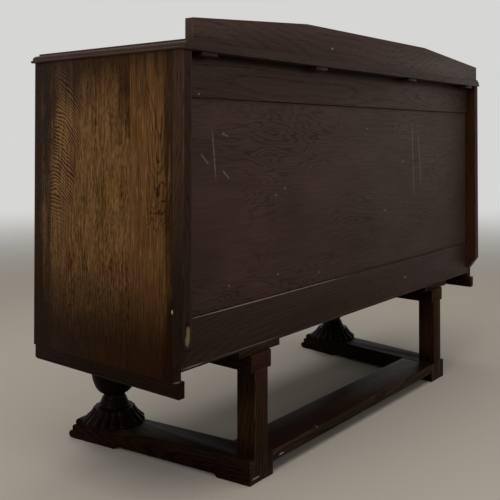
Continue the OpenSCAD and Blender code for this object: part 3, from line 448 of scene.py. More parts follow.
stand_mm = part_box("runner_right")[1].y / MM
base_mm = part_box("base_moulding_right")[1].z / MM
stand_oak = oak_finish(
    "waxed_dark_oak", "#25150c", "#0d0603", "#060302", "#38271b", roughness=0.45, sheen=0.02,
    contrast=0.9, marks=[((445, stand_mm, 11), (13, 3, 2.2)), ((356, stand_mm, 33), (9, 3, 2)),
                         ((217, stand_mm - 3, 49), (3, 4, 3))], bare_and_highlight="#5a4c40")
# Painted light: its rear faces, lit from behind, are painted paler than its sides
tree = stand_oak.node_tree
normal = add_node(tree, "NewGeometry", {}).outputs["Normal"]
normal = add_node(tree, "SeparateXYZ", {0: normal}).outputs
facing = add_node(tree, "MapRange", {"Value": normal["Y"], "From Min": 0.5, "From Max": 0.9})
tint(stand_oak, facing, REAR_FACE_PAINTED_LIGHT)
# Mops have left a grey film on those within two inches of the floor
place = add_node(tree, "TexCoord", {}).outputs["Object"]
axes = add_node(tree, "SeparateXYZ", {0: place}).outputs
film = add_node(tree, "MapRange", {"Value": axes["Z"], "From Min": 0.054, "From Max": 0.042})
tint(stand_oak, where_all(tree, film, facing), GREY_FILM)
# The side faces of its rear legs are rubbed to a golden brown half-way up
sideways = add_node(tree, "Math", {0: normal["X"]}, operation="ABSOLUTE")
rubbed = [add_node(tree, "MapRange", {"Value": sideways, "From Min": 0.8, "From Max": 0.95})]
for axis, start, end in RUBBED_LIMITS:
    rubbed.append(add_node(tree, "MapRange", {"Value": axes[axis], "From Min": start,
                                              "From Max": end}, **SMOOTH))
tint(stand_oak, where_all(tree, *rubbed), GOLDEN)
# The base mouldings, under the darkest of the wax
base_oak = oak_finish(
    "waxed_moulding_oak", "#1f1008", "#0e0603", "#060302", "#33241a", roughness=0.4, sheen=0.03,
    marks=[((side_mm - 8, back_mm + 1, base_mm), (9, 8, 1))], bare_and_highlight="#5a4c40")
# The turned and carved front legs, painted darker than the rest of the stand: painted shade from
# the carcass over them
leg_oak_painted_shade = oak_finish("waxed_turned_oak", "#140804", "#080402", "#040201", "#21150e",
                     roughness=0.36, sheen=0.025)
print("oak of the stand:", [m.name for m in (stand_oak, base_oak, leg_oak_painted_shade)])

# %% [markdown]
# The front, the top and its mouldings are brown oak, stained and polished with the grain in
# view. The inside never had polish: drawer linings, shelves and blocks are dry and pale brown.

# %% Polished and bare oak
dark_show_oak = oak_finish("dark_polished_oak", "#3c281e", "#251710", "#110a06", "#5a4636",
                           roughness=0.38, sheen=0.1)
show_oak = oak_finish("polished_brown_oak", "#5e3f1e", "#3a2411", "#1e1108", "#6f5132",
                      roughness=0.36, sheen=0.08, contrast=0.8)
bare_oak = oak_finish("unpolished_oak", "#b08a5e", "#946d44", "#5c4026", "#c09a6c",
                      roughness=0.62, sheen=0.2)
print("other oak:", [m.name for m in (dark_show_oak, show_oak, bare_oak)])

# %% [markdown]
# The two sides are the show faces of the carcass. Each is faced with three leaves of oak veneer
# laid edge to edge. The rear leaf was cut flat, so its rings run up in nested arches, the
# cathedral grain. The middle one shows short open pores. The front one was cut close to the rays
# of the log. All of it is drawn on one plane, where the second coordinate is the distance
# forward of the rear face and the third is the height. Each leaf reads the noises at a place of
# its own, and its fibres wriggle a little on their way up.

# %% Leaves of veneer
LEAF_SEAMS = (0.144, 0.294)
WRIGGLE = 8 * MM

oak_veneer, tree = new_material("oak_veneer")
plain_place = add_node(tree, "TexCoord", {}).outputs["Object"]
place = add_node(tree, "Mapping",
                 {"Vector": plain_place, "Location": (0, REAR, 0), "Scale": (1, -1, 1)})
axes = add_node(tree, "SeparateXYZ", {0: place}).outputs
forward, height = axes["Y"], axes["Z"]
past = [add_node(tree, "Math", {0: forward, 1: seam}, operation="GREATER_THAN")
        for seam in LEAF_SEAMS]
rear_leaf = weighed(tree, [(past[0], -1)], 1)
leaf = weighed(tree, [(past[1], 1)], past[0])
wriggle = where_all(tree, stretched_noise(tree, place, (1000, 26, 18), 1), past[0])
wriggle = weighed(tree, [(wriggle, WRIGGLE)], forward)
leaf_place = add_node(tree, "CombineXYZ", {"X": leaf, "Y": wriggle, "Z": height})
fibres = stretched_noise(tree, leaf_place, (50, 3.2, 70), 2, 0.38, 0.62)
streaks = stretched_noise(tree, leaf_place, (300, 16, 300), 2, 0.35, 0.65)
blotches = stretched_noise(tree, leaf_place, (300, 60, 110), 2, 0.3, 0.7)
dashes = stretched_noise(tree, leaf_place, (50, 3.4, 13), 1, 0.4, 0.6)
glints = stretched_noise(tree, leaf_place, (70, 5, 30), 0, 0.6, 0.72)
# The middle leaf is darker along its rear seam
seam_shade = add_node(tree, "MapRange", {"Value": forward, "From Min": LEAF_SEAMS[0] + 34 * MM,
                                         "From Max": LEAF_SEAMS[0] + 12 * MM}, **SMOOTH)
seam_shade = where_all(tree, seam_shade, past[0])
print("veneer leaves:", len(LEAF_SEAMS) + 1)

# %% [markdown]
# Cathedral grain is what a flat cut makes of cone-shaped rings. Here it is the contour lines of
# a fold that is flat at its foot and steep at its top, like a map of a ridge. A little noise
# shakes the lines, more of it lower down, and they stand closer together there.

# %% Cathedral grain of the rear leaf
ARCH_MIDDLE = 0.066
ARCH_HALF_WIDTH = 0.045
ARCH_BEND = 0.024
# Lines for each metre at the top arch, and how many more for each metre down
ARCH_CROWDING = (18, 130)
ARCH_TIP = 3 * MM
TOP_ARCH = 0.711

bend = stretched_noise(tree, place, (1000, 40, 50), 1)
across = weighed(tree, [(bend, ARCH_BEND), (forward, 1)], -ARCH_MIDDLE - ARCH_BEND / 2)
root = add_node(tree, "Math", {0: weighed(tree, [(across, across)], ARCH_TIP ** 2)},
                operation="SQRT")
slope = add_node(tree, "MapRange", {"Value": height, "From Min": 0.60, "From Max": 0.72,
                                    "To Min": -0.6, "To Max": -4})
shake = weighed(tree, [(stretched_noise(tree, place, (1000, 20, 24)), 1)], -0.5)
loose = add_node(tree, "MapRange", {"Value": height, "From Min": 0.74, "From Max": 0.56,
                                    "To Min": 0.015, "To Max": 0.045})
tilt = add_node(tree, "MapRange",
                {"Value": height, "From Min": 0.64, "From Max": 0.58, "To Max": 0.5})
rise = weighed(tree, [(root, slope), (shake, loose), (across, tilt)], height)
depth = weighed(tree, [(rise, -1)], TOP_ARCH)
crowd = weighed(tree, [(depth, ARCH_CROWDING[1])], ARCH_CROWDING[0])
steps = add_node(tree, "Math", {0: weighed(tree, [(depth, crowd)])}, operation="FRACT")
arches = add_node(tree, "MapRange", {"Value": steps, "From Min": 0.34, "From Max": 0.0},
                  **SMOOTH)
below = add_node(tree, "Math", {0: depth, 1: -8 * MM}, operation="GREATER_THAN")
inside = add_node(tree, "MapRange", {"Value": root, "From Min": ARCH_HALF_WIDTH,
                                     "From Max": ARCH_HALF_WIDTH / 2}, **SMOOTH)
low_end = add_node(tree, "MapRange", {"Value": height, "From Min": 0.52, "From Max": 0.56},
                   **SMOOTH)
arches = where_all(tree, arches, inside, low_end, below)
# Over the top arch the wood is a little paler
tongue = where_all(tree, weighed(tree, [(below, -1)], 1), inside)
print("highest arch:", TOP_ARCH)

# %% [markdown]
# The rays of the log cross the front leaf as a band of wavy bright flecks. The band is a wave
# texture with much distortion, level at its front and diving towards the rear.

# %% Ray flecks of the front leaf
FLECK_SPACING = 8 * MM
FLECK_FRONT = 0.392
FLECK_DIVE = 7
WAVINESS = 11
# How often the wave texture's bands repeat in one unit
BANDS_PER_UNIT = 3.2
# How far forward the band lies at the floor, and how much further back for each metre up
BAND_FOOT, BAND_LEAN = 0.433, 0.126

short = weighed(tree, [(forward, -1)], FLECK_FRONT)
short = weighed(tree, [(short, short)])
drop = weighed(tree, [(short, FLECK_DIVE)], height)
wave = add_node(tree, "CombineXYZ", {"Y": forward, "Z": drop})
wave = add_node(tree, "TexWave",
                {"Vector": wave, "Scale": 1 / (FLECK_SPACING * BANDS_PER_UNIT),
                 "Distortion": WAVINESS, "Detail Scale": 0.5}, bands_direction="Z")
off = weighed(tree, [(height, BAND_LEAN), (forward, 1)], -BAND_FOOT)
off = add_node(tree, "Math", {0: off}, operation="ABSOLUTE")
band = add_node(tree, "MapRange", {"Value": off, "From Min": 0.046, "From Max": 0.030},
                **SMOOTH)
span = add_node(tree, "MapRange",
                {"Value": height, "From Min": 0.50, "From Max": 0.62, "To Min": 0.15}, **SMOOTH)
band = where_all(tree, band, span, past[1])
flecks = where_all(tree, weighed(tree, [(wave.outputs["Fac"], 1)], -0.5), band)
# Pores hardly show between the flecks, and are fewer in the rear leaf
dashes = where_all(tree, dashes, weighed(tree, [(band, -1), (rear_leaf, -0.65)], 1))
print("fleck spacing:", FLECK_SPACING / MM, "mm")

# %% [markdown]
# All these parts, each with its share, make the wood's tone from light (0) to dark (1). Then the
# maker sprayed dark toner round the borders, so that the middle glows. It has a ragged inner
# limit, and the rear leaf took less of it at its ends. Only the outer face is veneered: the
# inside of the cupboards is plain brown.

# %% Tone and toner of the veneer
SHARES = [(fibres, 0.34), (dashes, 0.27), (streaks, 0.18), (blotches, 0.14), (glints, -0.25),
          (arches, 0.42), (flecks, 0.75), (band, 0.2), (seam_shade, 0.05), (tongue, -0.05)]
REDDER = (0.84, 0.78, 0.76, 1)
RAGGED = 30 * MM
VENEER_DEPTH_MM = 1.5
DARK_PATCH = ((side_mm, rear_mm - 30, 375), (4, 14, 50))
CHIP = ((side_mm, rear_mm - 29, 396), (4, 2.2, 4))

tone = add_node(tree, "MapRange", {"Value": weighed(tree, SHARES), "From Max": 0.85})
wood = add_node(tree, "Mix", {"Factor": tone, "A": linear("#7a5833"), "B": linear("#241105")},
                **RGBA)
wood = add_node(tree, "Mix", {"Factor": rear_leaf, "A": wood, "B": REDDER}, **FILTER)
ragged = weighed(tree, [(blotches, RAGGED), (streaks, RAGGED)], -RAGGED / 2)
reach = weighed(tree, [(forward, 1)], ragged)
level = weighed(tree, [(height, 1)], ragged)
high = weighed(tree, [(rear_leaf, -0.035), (seam_shade, 0.04)], level)
# Front, rear, top and bottom border: where its toner starts and is full, and how dark it is
BORDERS = [(reach, 0.385, 0.450, 0.92), (reach, 0.078, 0.052, 0.80),
           (high, 0.745, 0.890, 0.82), (level, 0.530, 0.315, 0.92)]
clear = [add_node(tree, "MapRange", {"Value": value, "From Min": start, "From Max": end,
                                     "To Min": 1, "To Max": 1 - strength}, **SMOOTH)
         for value, start, end, strength in BORDERS]
wood = add_node(tree, "Mix", {"Factor": where_all(tree, *clear), "A": linear("#190a02"),
                              "B": wood}, **RGBA)
wood = pale_marks(tree, wood, plain_place, [DARK_PATCH], "#1c0f07")
far_out = add_node(tree, "Math", {0: axes["X"]}, operation="ABSOLUTE")
outer = add_node(tree, "Math", {0: far_out, 1: (side_mm - VENEER_DEPTH_MM) * MM},
                 operation="GREATER_THAN")
inner_wood = add_node(tree, "Mix", {"Factor": fibres, "A": linear("#3a2417"),
                                    "B": linear("#24150d")}, **RGBA)
wood = add_node(tree, "Mix", {"Factor": outer, "A": inner_wood, "B": wood}, **RGBA)
wood = pale_marks(tree, wood, plain_place, [CHIP], "#b09a78")
bump = add_node(tree, "Bump", {"Height": dashes, "Strength": 0.25, "Distance": 0.3 * MM},
                invert=True)
rough = add_node(tree, "MapRange", {"Value": dashes, "To Min": 0.36, "To Max": 0.5})
finished_wood(tree, wood, rough, 0.03, bump)
print("veneer nodes:", len(tree.nodes))

# %% [markdown]
# The back is a sheet of ply, cut from the log as one long peel, so its grain lies across the
# sheet in flat wandering contour lines. They show in patches, most of all in one near the top.
# It was brushed with the same dark stain as the rails.

# %% Stained ply
CONTOUR_SIZE = (300, 300, 60)
CONTOURS = 18
FIGURED_MIDDLE = (0.32, 0.71)
FIGURED_REACH = (0.26, 1, 0.09)
# Painted reflection towards the far end of the sheet
FAR_END_PAINTED_SHEEN = (0.95, 1.13, 1.18, 1)
PLY_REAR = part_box("back_panel")[1].y

stained_ply, tree = new_material("stained_ply")
place = add_node(tree, "TexCoord", {}).outputs["Object"]
axes = add_node(tree, "SeparateXYZ", {0: place}).outputs
hills = weighed(tree, [(stretched_noise(tree, place, CONTOUR_SIZE, 2), 2 * CONTOURS)])
lines = add_node(tree, "Math", {0: hills, 1: 1}, operation="PINGPONG")
lines = add_node(tree, "MapRange", {"Value": lines, "From Min": 0.5, "From Max": 0.0},
                 **SMOOTH)
fibres = stretched_noise(tree, place, (90, 1000, 2.4), 2, 0.05, 0.95)
clouds = stretched_noise(tree, place, (240, 1000, 130), 2)
figured = stretched_noise(tree, place, (330, 1000, 150), 1, 0.38, 0.62)
patch = (FIGURED_MIDDLE[0], PLY_REAR, FIGURED_MIDDLE[1])
patch = add_node(tree, "Mapping", {"Vector": place, "Location": patch, "Scale": FIGURED_REACH},
                 vector_type="TEXTURE")
patch = add_node(tree, "VectorMath", {0: patch}, operation="LENGTH").outputs["Value"]
patch = add_node(tree, "MapRange", {"Value": patch, "From Min": 1.3, "From Max": 0.6},
                 **SMOOTH)
figured = add_node(tree, "Math", {0: figured, 1: patch}, operation="MAXIMUM")
lines = where_all(tree, lines, figured)
tone = weighed(tree, [(fibres, 0.65), (lines, 0.42), (clouds, 0.8)])
tone = add_node(tree, "MapRange", {"Value": tone, "From Min": 0.32, "From Max": 1.24})
wood = add_node(tree, "Mix", {"Factor": tone, "A": linear("#4d3830"), "B": linear("#291b16")},
                **RGBA)
# Towards its left-hand end the sheet is painted less red and greyer: a painted reflection of the
# pale room, which grows at the grazing angle there
leftward = add_node(tree, "MapRange", {"Value": axes["X"], "From Min": 0.5, "From Max": -0.4})
wood = add_node(tree, "Mix", {"Factor": leftward, "A": wood, "B": FAR_END_PAINTED_SHEEN}, **FILTER)
print("contour lines:", CONTOURS, "for each hill")

# %% [markdown]
# The sheet carries a few plain strokes of chalk and small nicks. Each stroke is a narrow box of
# its own, turned to its direction, and noise breaks it up as dust on rough wood. The chalk lies
# on the rear face alone, and not on the face inside the cupboards.

# %% Chalk strokes and nicks
CHALK_HALF_WIDTH = 2.2
CHALK_STRENGTH = 0.45
CHALK_STROKES = [((572, 738), (560, 628)), ((545, 727), (521, 719)), ((607, 688), (581, 664)),
                 ((542, 653), (517, 632)), ((-287, 766), (-298, 538)),
                 ((-325, 744), (-342, 564)), ((-243, 655), (-219, 644))]
NICKS = [(328, 605), (362, 592), (355, 419), (520, 419), (193, 401), (-125, 522), (-33, 739)]

on_rear = add_node(tree, "Math", {0: axes["Y"], 1: PLY_REAR - MM}, operation="GREATER_THAN")
dust = where_all(tree, stretched_noise(tree, place, (2.5, 2.5, 2.5), 2, 0.35, 0.7), on_rear)
for (x0, z0), (x1, z1) in CHALK_STROKES:
    length = math.hypot(x1 - x0, z1 - z0)
    stroke = add_node(tree, "Mapping",
                      {"Vector": place, "Location": ((x0 + x1) / 2 * MM, 0, (z0 + z1) / 2 * MM),
                       "Rotation": (0, -math.atan2(z1 - z0, x1 - x0), 0),
                       "Scale": (length / 2 * MM, 1, CHALK_HALF_WIDTH * MM)},
                      vector_type="TEXTURE")
    stroke = add_node(tree, "SeparateXYZ", {0: stroke}).outputs
    reach = [add_node(tree, "Math", {0: stroke[axis]}, operation="ABSOLUTE") for axis in "XZ"]
    far = add_node(tree, "Math", {0: reach[0], 1: reach[1]}, operation="MAXIMUM")
    mask = add_node(tree, "MapRange", {"Value": far, "From Min": 1, "From Max": 0.5,
                                       "To Max": CHALK_STRENGTH}, **SMOOTH)
    wood = add_node(tree, "Mix", {"Factor": where_all(tree, mask, dust), "A": wood,
                                  "B": linear("#b8aca2")}, **RGBA)
nicks = [((x, PLY_REAR / MM, z), (2.5, 2, 2)) for x, z in NICKS]
wood = pale_marks(tree, wood, place, nicks, "#8d7a6a")
# A dark band painted on the sheet under the top rail: painted shadow in the gap there
gap = [((0, PLY_REAR / MM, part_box("back_top_rail")[0].z / MM), (700, 2, 2.2))]
wood = pale_marks(tree, wood, place, gap, "#0c0705")
rough = add_node(tree, "MapRange", {"Value": fibres, "To Min": 0.42, "To Max": 0.6})
bump = add_node(tree, "Bump", {"Height": fibres, "Strength": 0.12, "Distance": 0.3 * MM})
finished_wood(tree, wood, rough, 0.08, bump)
print("ply nodes:", len(tree.nodes))

# %% [markdown]
# The hinges and the handles are old brass. It is cast and filed, its high places polished by
# hands and its hollows dulled brown by years of wax and air. The screws are dull steel, spotted
# with rust, and painted near black: painted shade of the holes that their heads sit in.

# %% Aged brass and dull steel
aged_brass, tree = new_material("aged_brass")
place = add_node(tree, "TexCoord", {}).outputs["Object"]
dull = add_node(tree, "TexNoise",
                {"Vector": place, "Scale": 130, "Detail": 4, "Roughness": 0.6})
dull = add_node(tree, "MapRange", {"Value": dull, "From Min": 0.4, "From Max": 0.65})
metal = add_node(tree, "Mix", {"Factor": dull, "A": linear("#b08d4c"), "B": linear("#5c4320")},
                 **RGBA)
rough = add_node(tree, "MapRange", {"Value": dull, "To Min": 0.28, "To Max": 0.52})
bump = add_node(tree, "Bump", {"Height": dull, "Strength": 0.15, "Distance": 0.2 * MM})
skin = add_node(tree, "BsdfPrincipled",
                {"Base Color": metal, "Metallic": 1, "Roughness": rough, "Normal": bump})
add_node(tree, "OutputMaterial", {"Surface": skin})

dull_steel, tree = new_material("dull_steel")
place = add_node(tree, "TexCoord", {}).outputs["Object"]
rust = add_node(tree, "TexNoise", {"Vector": place, "Scale": 420, "Detail": 4})
rust = add_node(tree, "MapRange", {"Value": rust, "From Min": 0.4, "From Max": 0.6})
# Both colours are near black: dull steel with painted shade of the screw holes
metal = add_node(tree, "Mix", {"Factor": rust, "A": linear("#2a2420"), "B": linear("#080605")},
                 **RGBA)
rough = add_node(tree, "MapRange", {"Value": rust, "To Min": 0.3, "To Max": 0.7})
skin = add_node(tree, "BsdfPrincipled", {"Base Color": metal, "Metallic": 1, "Roughness": rough})
add_node(tree, "OutputMaterial", {"Surface": skin})
print("metals:", aged_brass.name, dull_steel.name)

# %% [markdown]
# No real board has knife edges: a plane and years of dusting leave each one rounded by about a
# millimetre, and that is what catches the light. A CAD mesh is loose triangles, so a copy of it
# is merged and cleaned first. Its long sharp edges are then rounded with a Bevel modifier.

# %% Copies of the CAD boards, with eased edges
LONG_EDGE = 8 * MM
SHARP = math.radians(40)
SMOOTH_BELOW = math.radians(32)


def edit(step, **options):
    """Runs one mesh operator on the active piece in edit mode, with what is selected."""
    bpy.ops.object.mode_set(mode="EDIT")
    step(**options)
    bpy.ops.object.mode_set(mode="OBJECT")


def make_active(piece):
    """Selects one object and nothing else."""
    bpy.ops.object.select_all(action="DESELECT")
    piece.select_set(True)
    bpy.context.view_layer.objects.active = piece


def merged_copy(node):
    """A copy of a CAD node with its triangles merged and its flat faces made whole."""
    piece = bpy.data.objects.new(node + "_wood", nodes[node].data.copy())
    bpy.context.scene.collection.objects.link(piece)
    make_active(piece)
    piece.data.materials.clear()
    bpy.ops.mesh.customdata_custom_splitnormals_clear()
    edit(bpy.ops.mesh.select_all, action="SELECT")
    edit(bpy.ops.mesh.remove_doubles, threshold=0.01 * MM)
    edit(bpy.ops.mesh.dissolve_limited, angle_limit=math.radians(0.5))
    return piece


def ease_edges(piece, width):
    """Rounds the long sharp edges, and marks the new narrow faces in the attribute edge."""
    edit(bpy.ops.mesh.select_all, action="DESELECT")
    edit(bpy.ops.mesh.select_mode, type="EDGE")
    edit(bpy.ops.mesh.edges_select_sharp, sharpness=SHARP)
    mesh = piece.data
    weight = mesh.attributes.new("bevel_weight_edge", "FLOAT", "EDGE")
    for edge in mesh.edges:
        ends = [mesh.vertices[i].co for i in edge.vertices]
        if edge.select and (ends[0] - ends[1]).length > LONG_EDGE:
            weight.data[edge.index].value = 1
    # Two empty material slots, so that the second one tells the narrow faces
    mesh.materials.append(None)
    mesh.materials.append(None)
    bevel = piece.modifiers.new("eased_edges", "BEVEL")
    bevel.limit_method = "WEIGHT"
    bevel.width = width
    bevel.segments = 2
    bevel.material = 1
    bpy.ops.object.modifier_apply(modifier=bevel.name)
    mesh = piece.data
    narrow = mesh.attributes.new("edge", "FLOAT", "FACE")
    narrow.data.foreach_set("value", [float(face.material_index) for face in mesh.polygons])
    mesh.materials.clear()


print("edges longer than", LONG_EDGE / MM, "mm are eased")

# %% [markdown]
# A node may hold several boards. Each one gets its own coordinates, along its own length and
# from a place of its own, so that no two boards share the same grain.

# %% Grain along each board
def loose_boards(mesh):
    """The vertex numbers of each separate board in a mesh."""
    neighbours = [[] for vertex in mesh.vertices]
    for edge in mesh.edges:
        a, b = edge.vertices
        neighbours[a].append(b)
        neighbours[b].append(a)
    found = set()
    boards = []
    for start in range(len(neighbours)):
        if start not in found:
            found.add(start)
            board = [start]
            for vertex in board:
                fresh = [other for other in neighbours[vertex] if other not in found]
                found.update(fresh)
                board += fresh
            boards.append(board)
    return boards


def lay_grain(piece, along=None):
    """Writes each board's own coordinates, the third one along its length or a given axis."""
    mesh = piece.data
    chance = random.Random(piece.name)
    place = mesh.attributes.new("board", "FLOAT_VECTOR", "POINT")
    boards = loose_boards(mesh)
    for board in boards:
        corners = [mesh.vertices[i].co for i in board]
        low = Vector([min(c[k] for c in corners) for k in range(3)])
        high = Vector([max(c[k] for c in corners) for k in range(3)])
        length_axis = max(range(3), key=lambda k: high[k] - low[k]) if along is None else along
        others = [k for k in range(3) if k != length_axis]
        wide, thin = sorted(others, key=lambda k: low[k] - high[k])
        middle = (low + high) / 2
        offset = Vector([chance.uniform(-0.05, 0.05), chance.uniform(-0.15, -0.05),
                         chance.uniform(-9, 9)])
        for i in board:
            co = mesh.vertices[i].co - middle
            place.data[i].vector = Vector([co[wide], co[thin], co[length_axis]]) + offset
    return len(boards)


def dress(node, finish, ease, along):
    """Puts an eased, grained copy of a CAD node in its place."""
    piece = merged_copy(node)
    ease_edges(piece, ease * MM)
    boards = lay_grain(piece, along)
    make_active(piece)
    bpy.ops.object.shade_smooth_by_angle(angle=SMOOTH_BELOW)
    piece.data.materials.append(finish)
    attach(piece, nodes[node]["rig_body"])
    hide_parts(node)
    return boards


# %% [markdown]
# Most of the sideboard is boards. Each line gives a finish, its slot, how far the edges are
# rounded in mm, the axis that the grain follows if it isn't the longest, and the nodes.

# %% Boards
BOARDS = [
    (dark_show_oak, "oak_show_wood", 0.8, None, ["top_board"]),
    (oak_veneer, "oak_show_wood", 0.8, None, ["side_left", "side_right"]),
    (show_oak, "oak_show_wood", 0.8, None,
     ["frieze_rail", "bottom_rail", "drawer_rails", "door_left_frame", "door_right_frame",
      "drawer_top_front", "drawer_middle_front", "drawer_bottom_front"]),
    (stained_oak, "dark_oak", 1.0, None, ["gallery", "back_top_rail"]),
    (deep_stained_oak, "dark_oak", 1.0, None, ["back_bottom_rail", "bottom_board", "glue_blocks"]),
    (dark_show_oak, "dark_oak", 0.8, None, ["partition_left", "partition_right"]),
    (strip_oak, "dark_oak", 1.0, None, ["rear_strip_left", "rear_strip_right"]),
    (base_oak, "dark_oak", 1.0, None,
     ["base_moulding_front", "base_moulding_left", "base_moulding_right"]),
    (stained_ply, "stained_ply", 0.5, None, ["back_panel"]),
    (stand_oak, "stand_oak", 1.2, None,
     ["front_bearer", "bearer_left", "bearer_right", "bearer_cleats", "rear_leg_left",
      "rear_leg_right", "runner_left", "runner_right", "stretcher"]),
    (bare_oak, "inner_wood", 0.6, None,
     ["drawer_runners", "stop_blocks", "shelves", "shelf_bearers",
      "drawer_top_box", "drawer_middle_box", "drawer_bottom_box"]),
    (show_oak, "oak_show_wood", 0.4, 2, ["door_left_panel", "door_right_panel"]),
    (leg_oak_painted_shade, "stand_oak", 0.8, 2, ["front_leg_left", "front_leg_right"]),
]
for finish, slot, ease, along, names in BOARDS:
    count = sum(dress(node, finish, ease, along) for node in names)
    print(slot, "pieces:", len(names), "boards:", count)

# %% [markdown]
# The foot of each front leg is the best work on the piece: a bell cut into rounded gadroons that
# meet in sharp valleys. A turner makes the plain bell first, and a carver divides its rim and
# cuts each valley. It is made the same way here. A ring of 72 points, four to a gadroon, is drawn
# up into the bell, ring over ring.

# %% Plain bell
GADROONS = 18
PER_GADROON = 4
COLUMNS = PER_GADROON * GADROONS
# Radius and height of each ring over the runner, in mm
BELL_RINGS = [(70.0, 0.0), (73.4, 1.6), (73.8, 4.0), (70.0, 7.6), (64.3, 12.0), (58.8, 17.0),
              (54.0, 22.5), (50.4, 28.0), (48.0, 33.0)]


def drawn_up(name, foot, rings, columns):
    """A round solid drawn up from a circle. A ring is its radius and its height in mm."""
    radius, height = rings[0]
    start = foot + Vector((0, 0, height * MM))
    bpy.ops.object.select_all(action="DESELECT")
    bpy.ops.mesh.primitive_circle_add(vertices=columns, radius=radius * MM, fill_type="NGON",
                                      location=start)
    piece = bpy.context.object
    piece.name = name
    bpy.ops.object.transform_apply()
    bpy.ops.object.mode_set(mode="EDIT")
    bpy.ops.mesh.select_mode(type="VERT")
    bpy.ops.mesh.select_all(action="SELECT")
    for ring_radius, ring_height in rings[1:]:
        up = (0, 0, (ring_height - height) * MM)
        bpy.ops.mesh.extrude_region_move(TRANSFORM_OT_translate={"value": up})
        grow = ring_radius / radius
        bpy.ops.transform.resize(value=(grow, grow, 1), center_override=foot)
        radius, height = ring_radius, ring_height
    bpy.ops.mesh.select_all(action="SELECT")
    bpy.ops.mesh.normals_make_consistent(inside=False)
    bpy.ops.object.mode_set(mode="OBJECT")
    return piece


low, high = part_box("leg_bell_right")
foot = Vector(((low.x + high.x) / 2, (low.y + high.y) / 2, low.z))
bell = drawn_up("bell_right", foot, BELL_RINGS, COLUMNS)
print("bell vertices:", len(bell.data.vertices))

# %% [markdown]
# Each fourth column is pulled in for a valley and creased, and the two beside it come in a
# little for its shoulders. A Subdivision modifier rounds the rest. The other leg's bell is a
# copy with a mesh of its own.

# %% Valleys, creases and the second bell
VALLEY_SCALE = 0.915
SHOULDER_SCALE = 0.975
CREASE = 0.8
ROUND_BELOW = math.radians(40)


def column_of(place, middle):
    """Which of the columns round the axis a point belongs to."""
    angle = math.atan2(place.y - middle.y, place.x - middle.x)
    return round(angle / (2 * math.pi) * COLUMNS) % COLUMNS


def select_where(mesh, test):
    """Selects the vertices that pass a test, and the edges between them."""
    for group in (mesh.vertices, mesh.edges, mesh.polygons):
        group.foreach_set("select", [False] * len(group))
    for vertex in mesh.vertices:
        vertex.select = test(vertex.co)
    for edge in mesh.edges:
        edge.select = all(mesh.vertices[i].select for i in edge.vertices)


def is_creased(place):
    """Whether a point of the bell lies in a valley, or on its lowest or highest ring."""
    on_rim = place.z < low.z + 0.1 * MM or place.z > high.z - 0.1 * MM
    return column_of(place, foot) % PER_GADROON == 0 or on_rim


def rounded_off(piece, levels):
    """Rounds a piece with an applied Subdivision modifier and shades it smooth."""
    modifier = piece.modifiers.new("rounded", "SUBSURF")
    modifier.levels = levels
    make_active(piece)
    bpy.ops.object.modifier_apply(modifier=modifier.name)
    bpy.ops.object.shade_smooth_by_angle(angle=ROUND_BELOW)


def mirrored_twin(piece, name, shift):
    """The same piece for the other leg, with a mesh of its own, moved across."""
    twin = piece.copy()
    twin.data = piece.data.copy()
    twin.name = name
    bpy.context.scene.collection.objects.link(twin)
    make_active(twin)
    edit(bpy.ops.mesh.select_all, action="SELECT")
    edit(bpy.ops.transform.translate, value=(shift, 0, 0))
    return twin


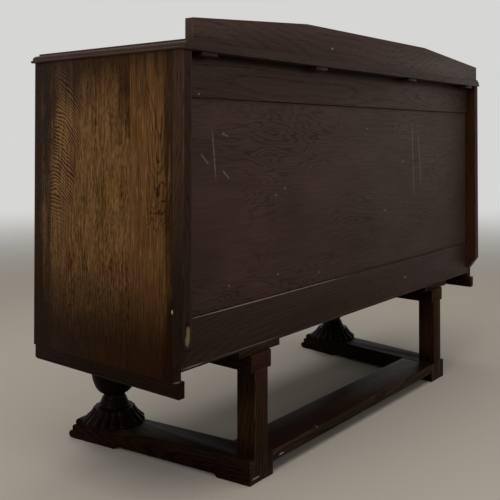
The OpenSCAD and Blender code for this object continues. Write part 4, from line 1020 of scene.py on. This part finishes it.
for scale, columns in ((VALLEY_SCALE, (0,)), (SHOULDER_SCALE, (1, 3))):
    select_where(bell.data, lambda co: column_of(co, foot) % PER_GADROON in columns)
    edit(bpy.ops.transform.resize, value=(scale, scale, 1), center_override=foot)
select_where(bell.data, is_creased)
edit(bpy.ops.mesh.select_mode, type="EDGE")
edit(bpy.ops.transform.edge_crease, value=CREASE)
rounded_off(bell, 2)
twin = mirrored_twin(bell, "bell_left", -2 * foot.x)
for piece, node in ((bell, "leg_bell_right"), (twin, "leg_bell_left")):
    lay_grain(piece, along=2)
    piece.data.materials.append(leg_oak_painted_shade)
    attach(piece, nodes[node]["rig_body"])
    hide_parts(node)
print("bell faces:", len(bell.data.polygons))

# %% [markdown]
# Between the bell and the cup the turner left three thin beads on the sloping neck. In dim light
# their small glints are all that shows of it. Each bead stands under two millimetres proud.

# %% Beads on the necks
NECK_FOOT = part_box("front_leg_right")[0].z + 4 * MM
NECK_RADIUS = 34
NECK_TAPER = 10 / 24
# Points of one bead: how far over its middle, and how far out from the neck, in mm
BEAD_LINE = [(-2.3, 0.3), (-1.4, 1.3), (0, 1.8), (1.4, 1.3)]
BEADS = 3
FIRST_BEAD = 4.5
BEAD_STEP = 6
BEAD_COLUMNS = 48
# The lowest and the highest ring are hidden in the neck: how deep, and how far off the beads
HIDDEN_FOOT, HIDDEN_TOP, HIDDEN_GAP = 5, 14, 2.4

bead_rings = [(NECK_RADIUS - HIDDEN_FOOT, FIRST_BEAD - HIDDEN_GAP)]
for k in range(BEADS):
    middle = FIRST_BEAD + k * BEAD_STEP
    bead_rings += [(NECK_RADIUS - (middle + up) * NECK_TAPER + out, middle + up)
                   for up, out in BEAD_LINE]
bead_rings += [(NECK_RADIUS - HIDDEN_TOP, FIRST_BEAD + (BEADS - 1) * BEAD_STEP + HIDDEN_GAP)]
neck = Vector((foot.x, foot.y, NECK_FOOT))
beads = drawn_up("neck_beads_right", neck, bead_rings, BEAD_COLUMNS)
rounded_off(beads, 1)
twin = mirrored_twin(beads, "neck_beads_left", -2 * foot.x)
for piece, node in ((beads, "front_leg_right"), (twin, "front_leg_left")):
    lay_grain(piece, along=2)
    piece.data.materials.append(leg_oak_painted_shade)
    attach(piece, nodes[node]["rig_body"])
print("bead faces:", len(beads.data.polygons))

# %% [markdown]
# The hinges, handles and screws keep their CAD meshes, which already have every curve in them.
# They only get their metal.

# %% Metal pieces
brass = [name for name in nodes if name.endswith(("_plate", "_drop", "_hinges"))]
for name in brass + ["hinges_fixed", "strip_screws"]:
    metal = dull_steel if name == "strip_screws" else aged_brass
    nodes[name].data.materials.clear()
    nodes[name].data.materials.append(metal)
print("brass pieces:", len(brass) + 1)
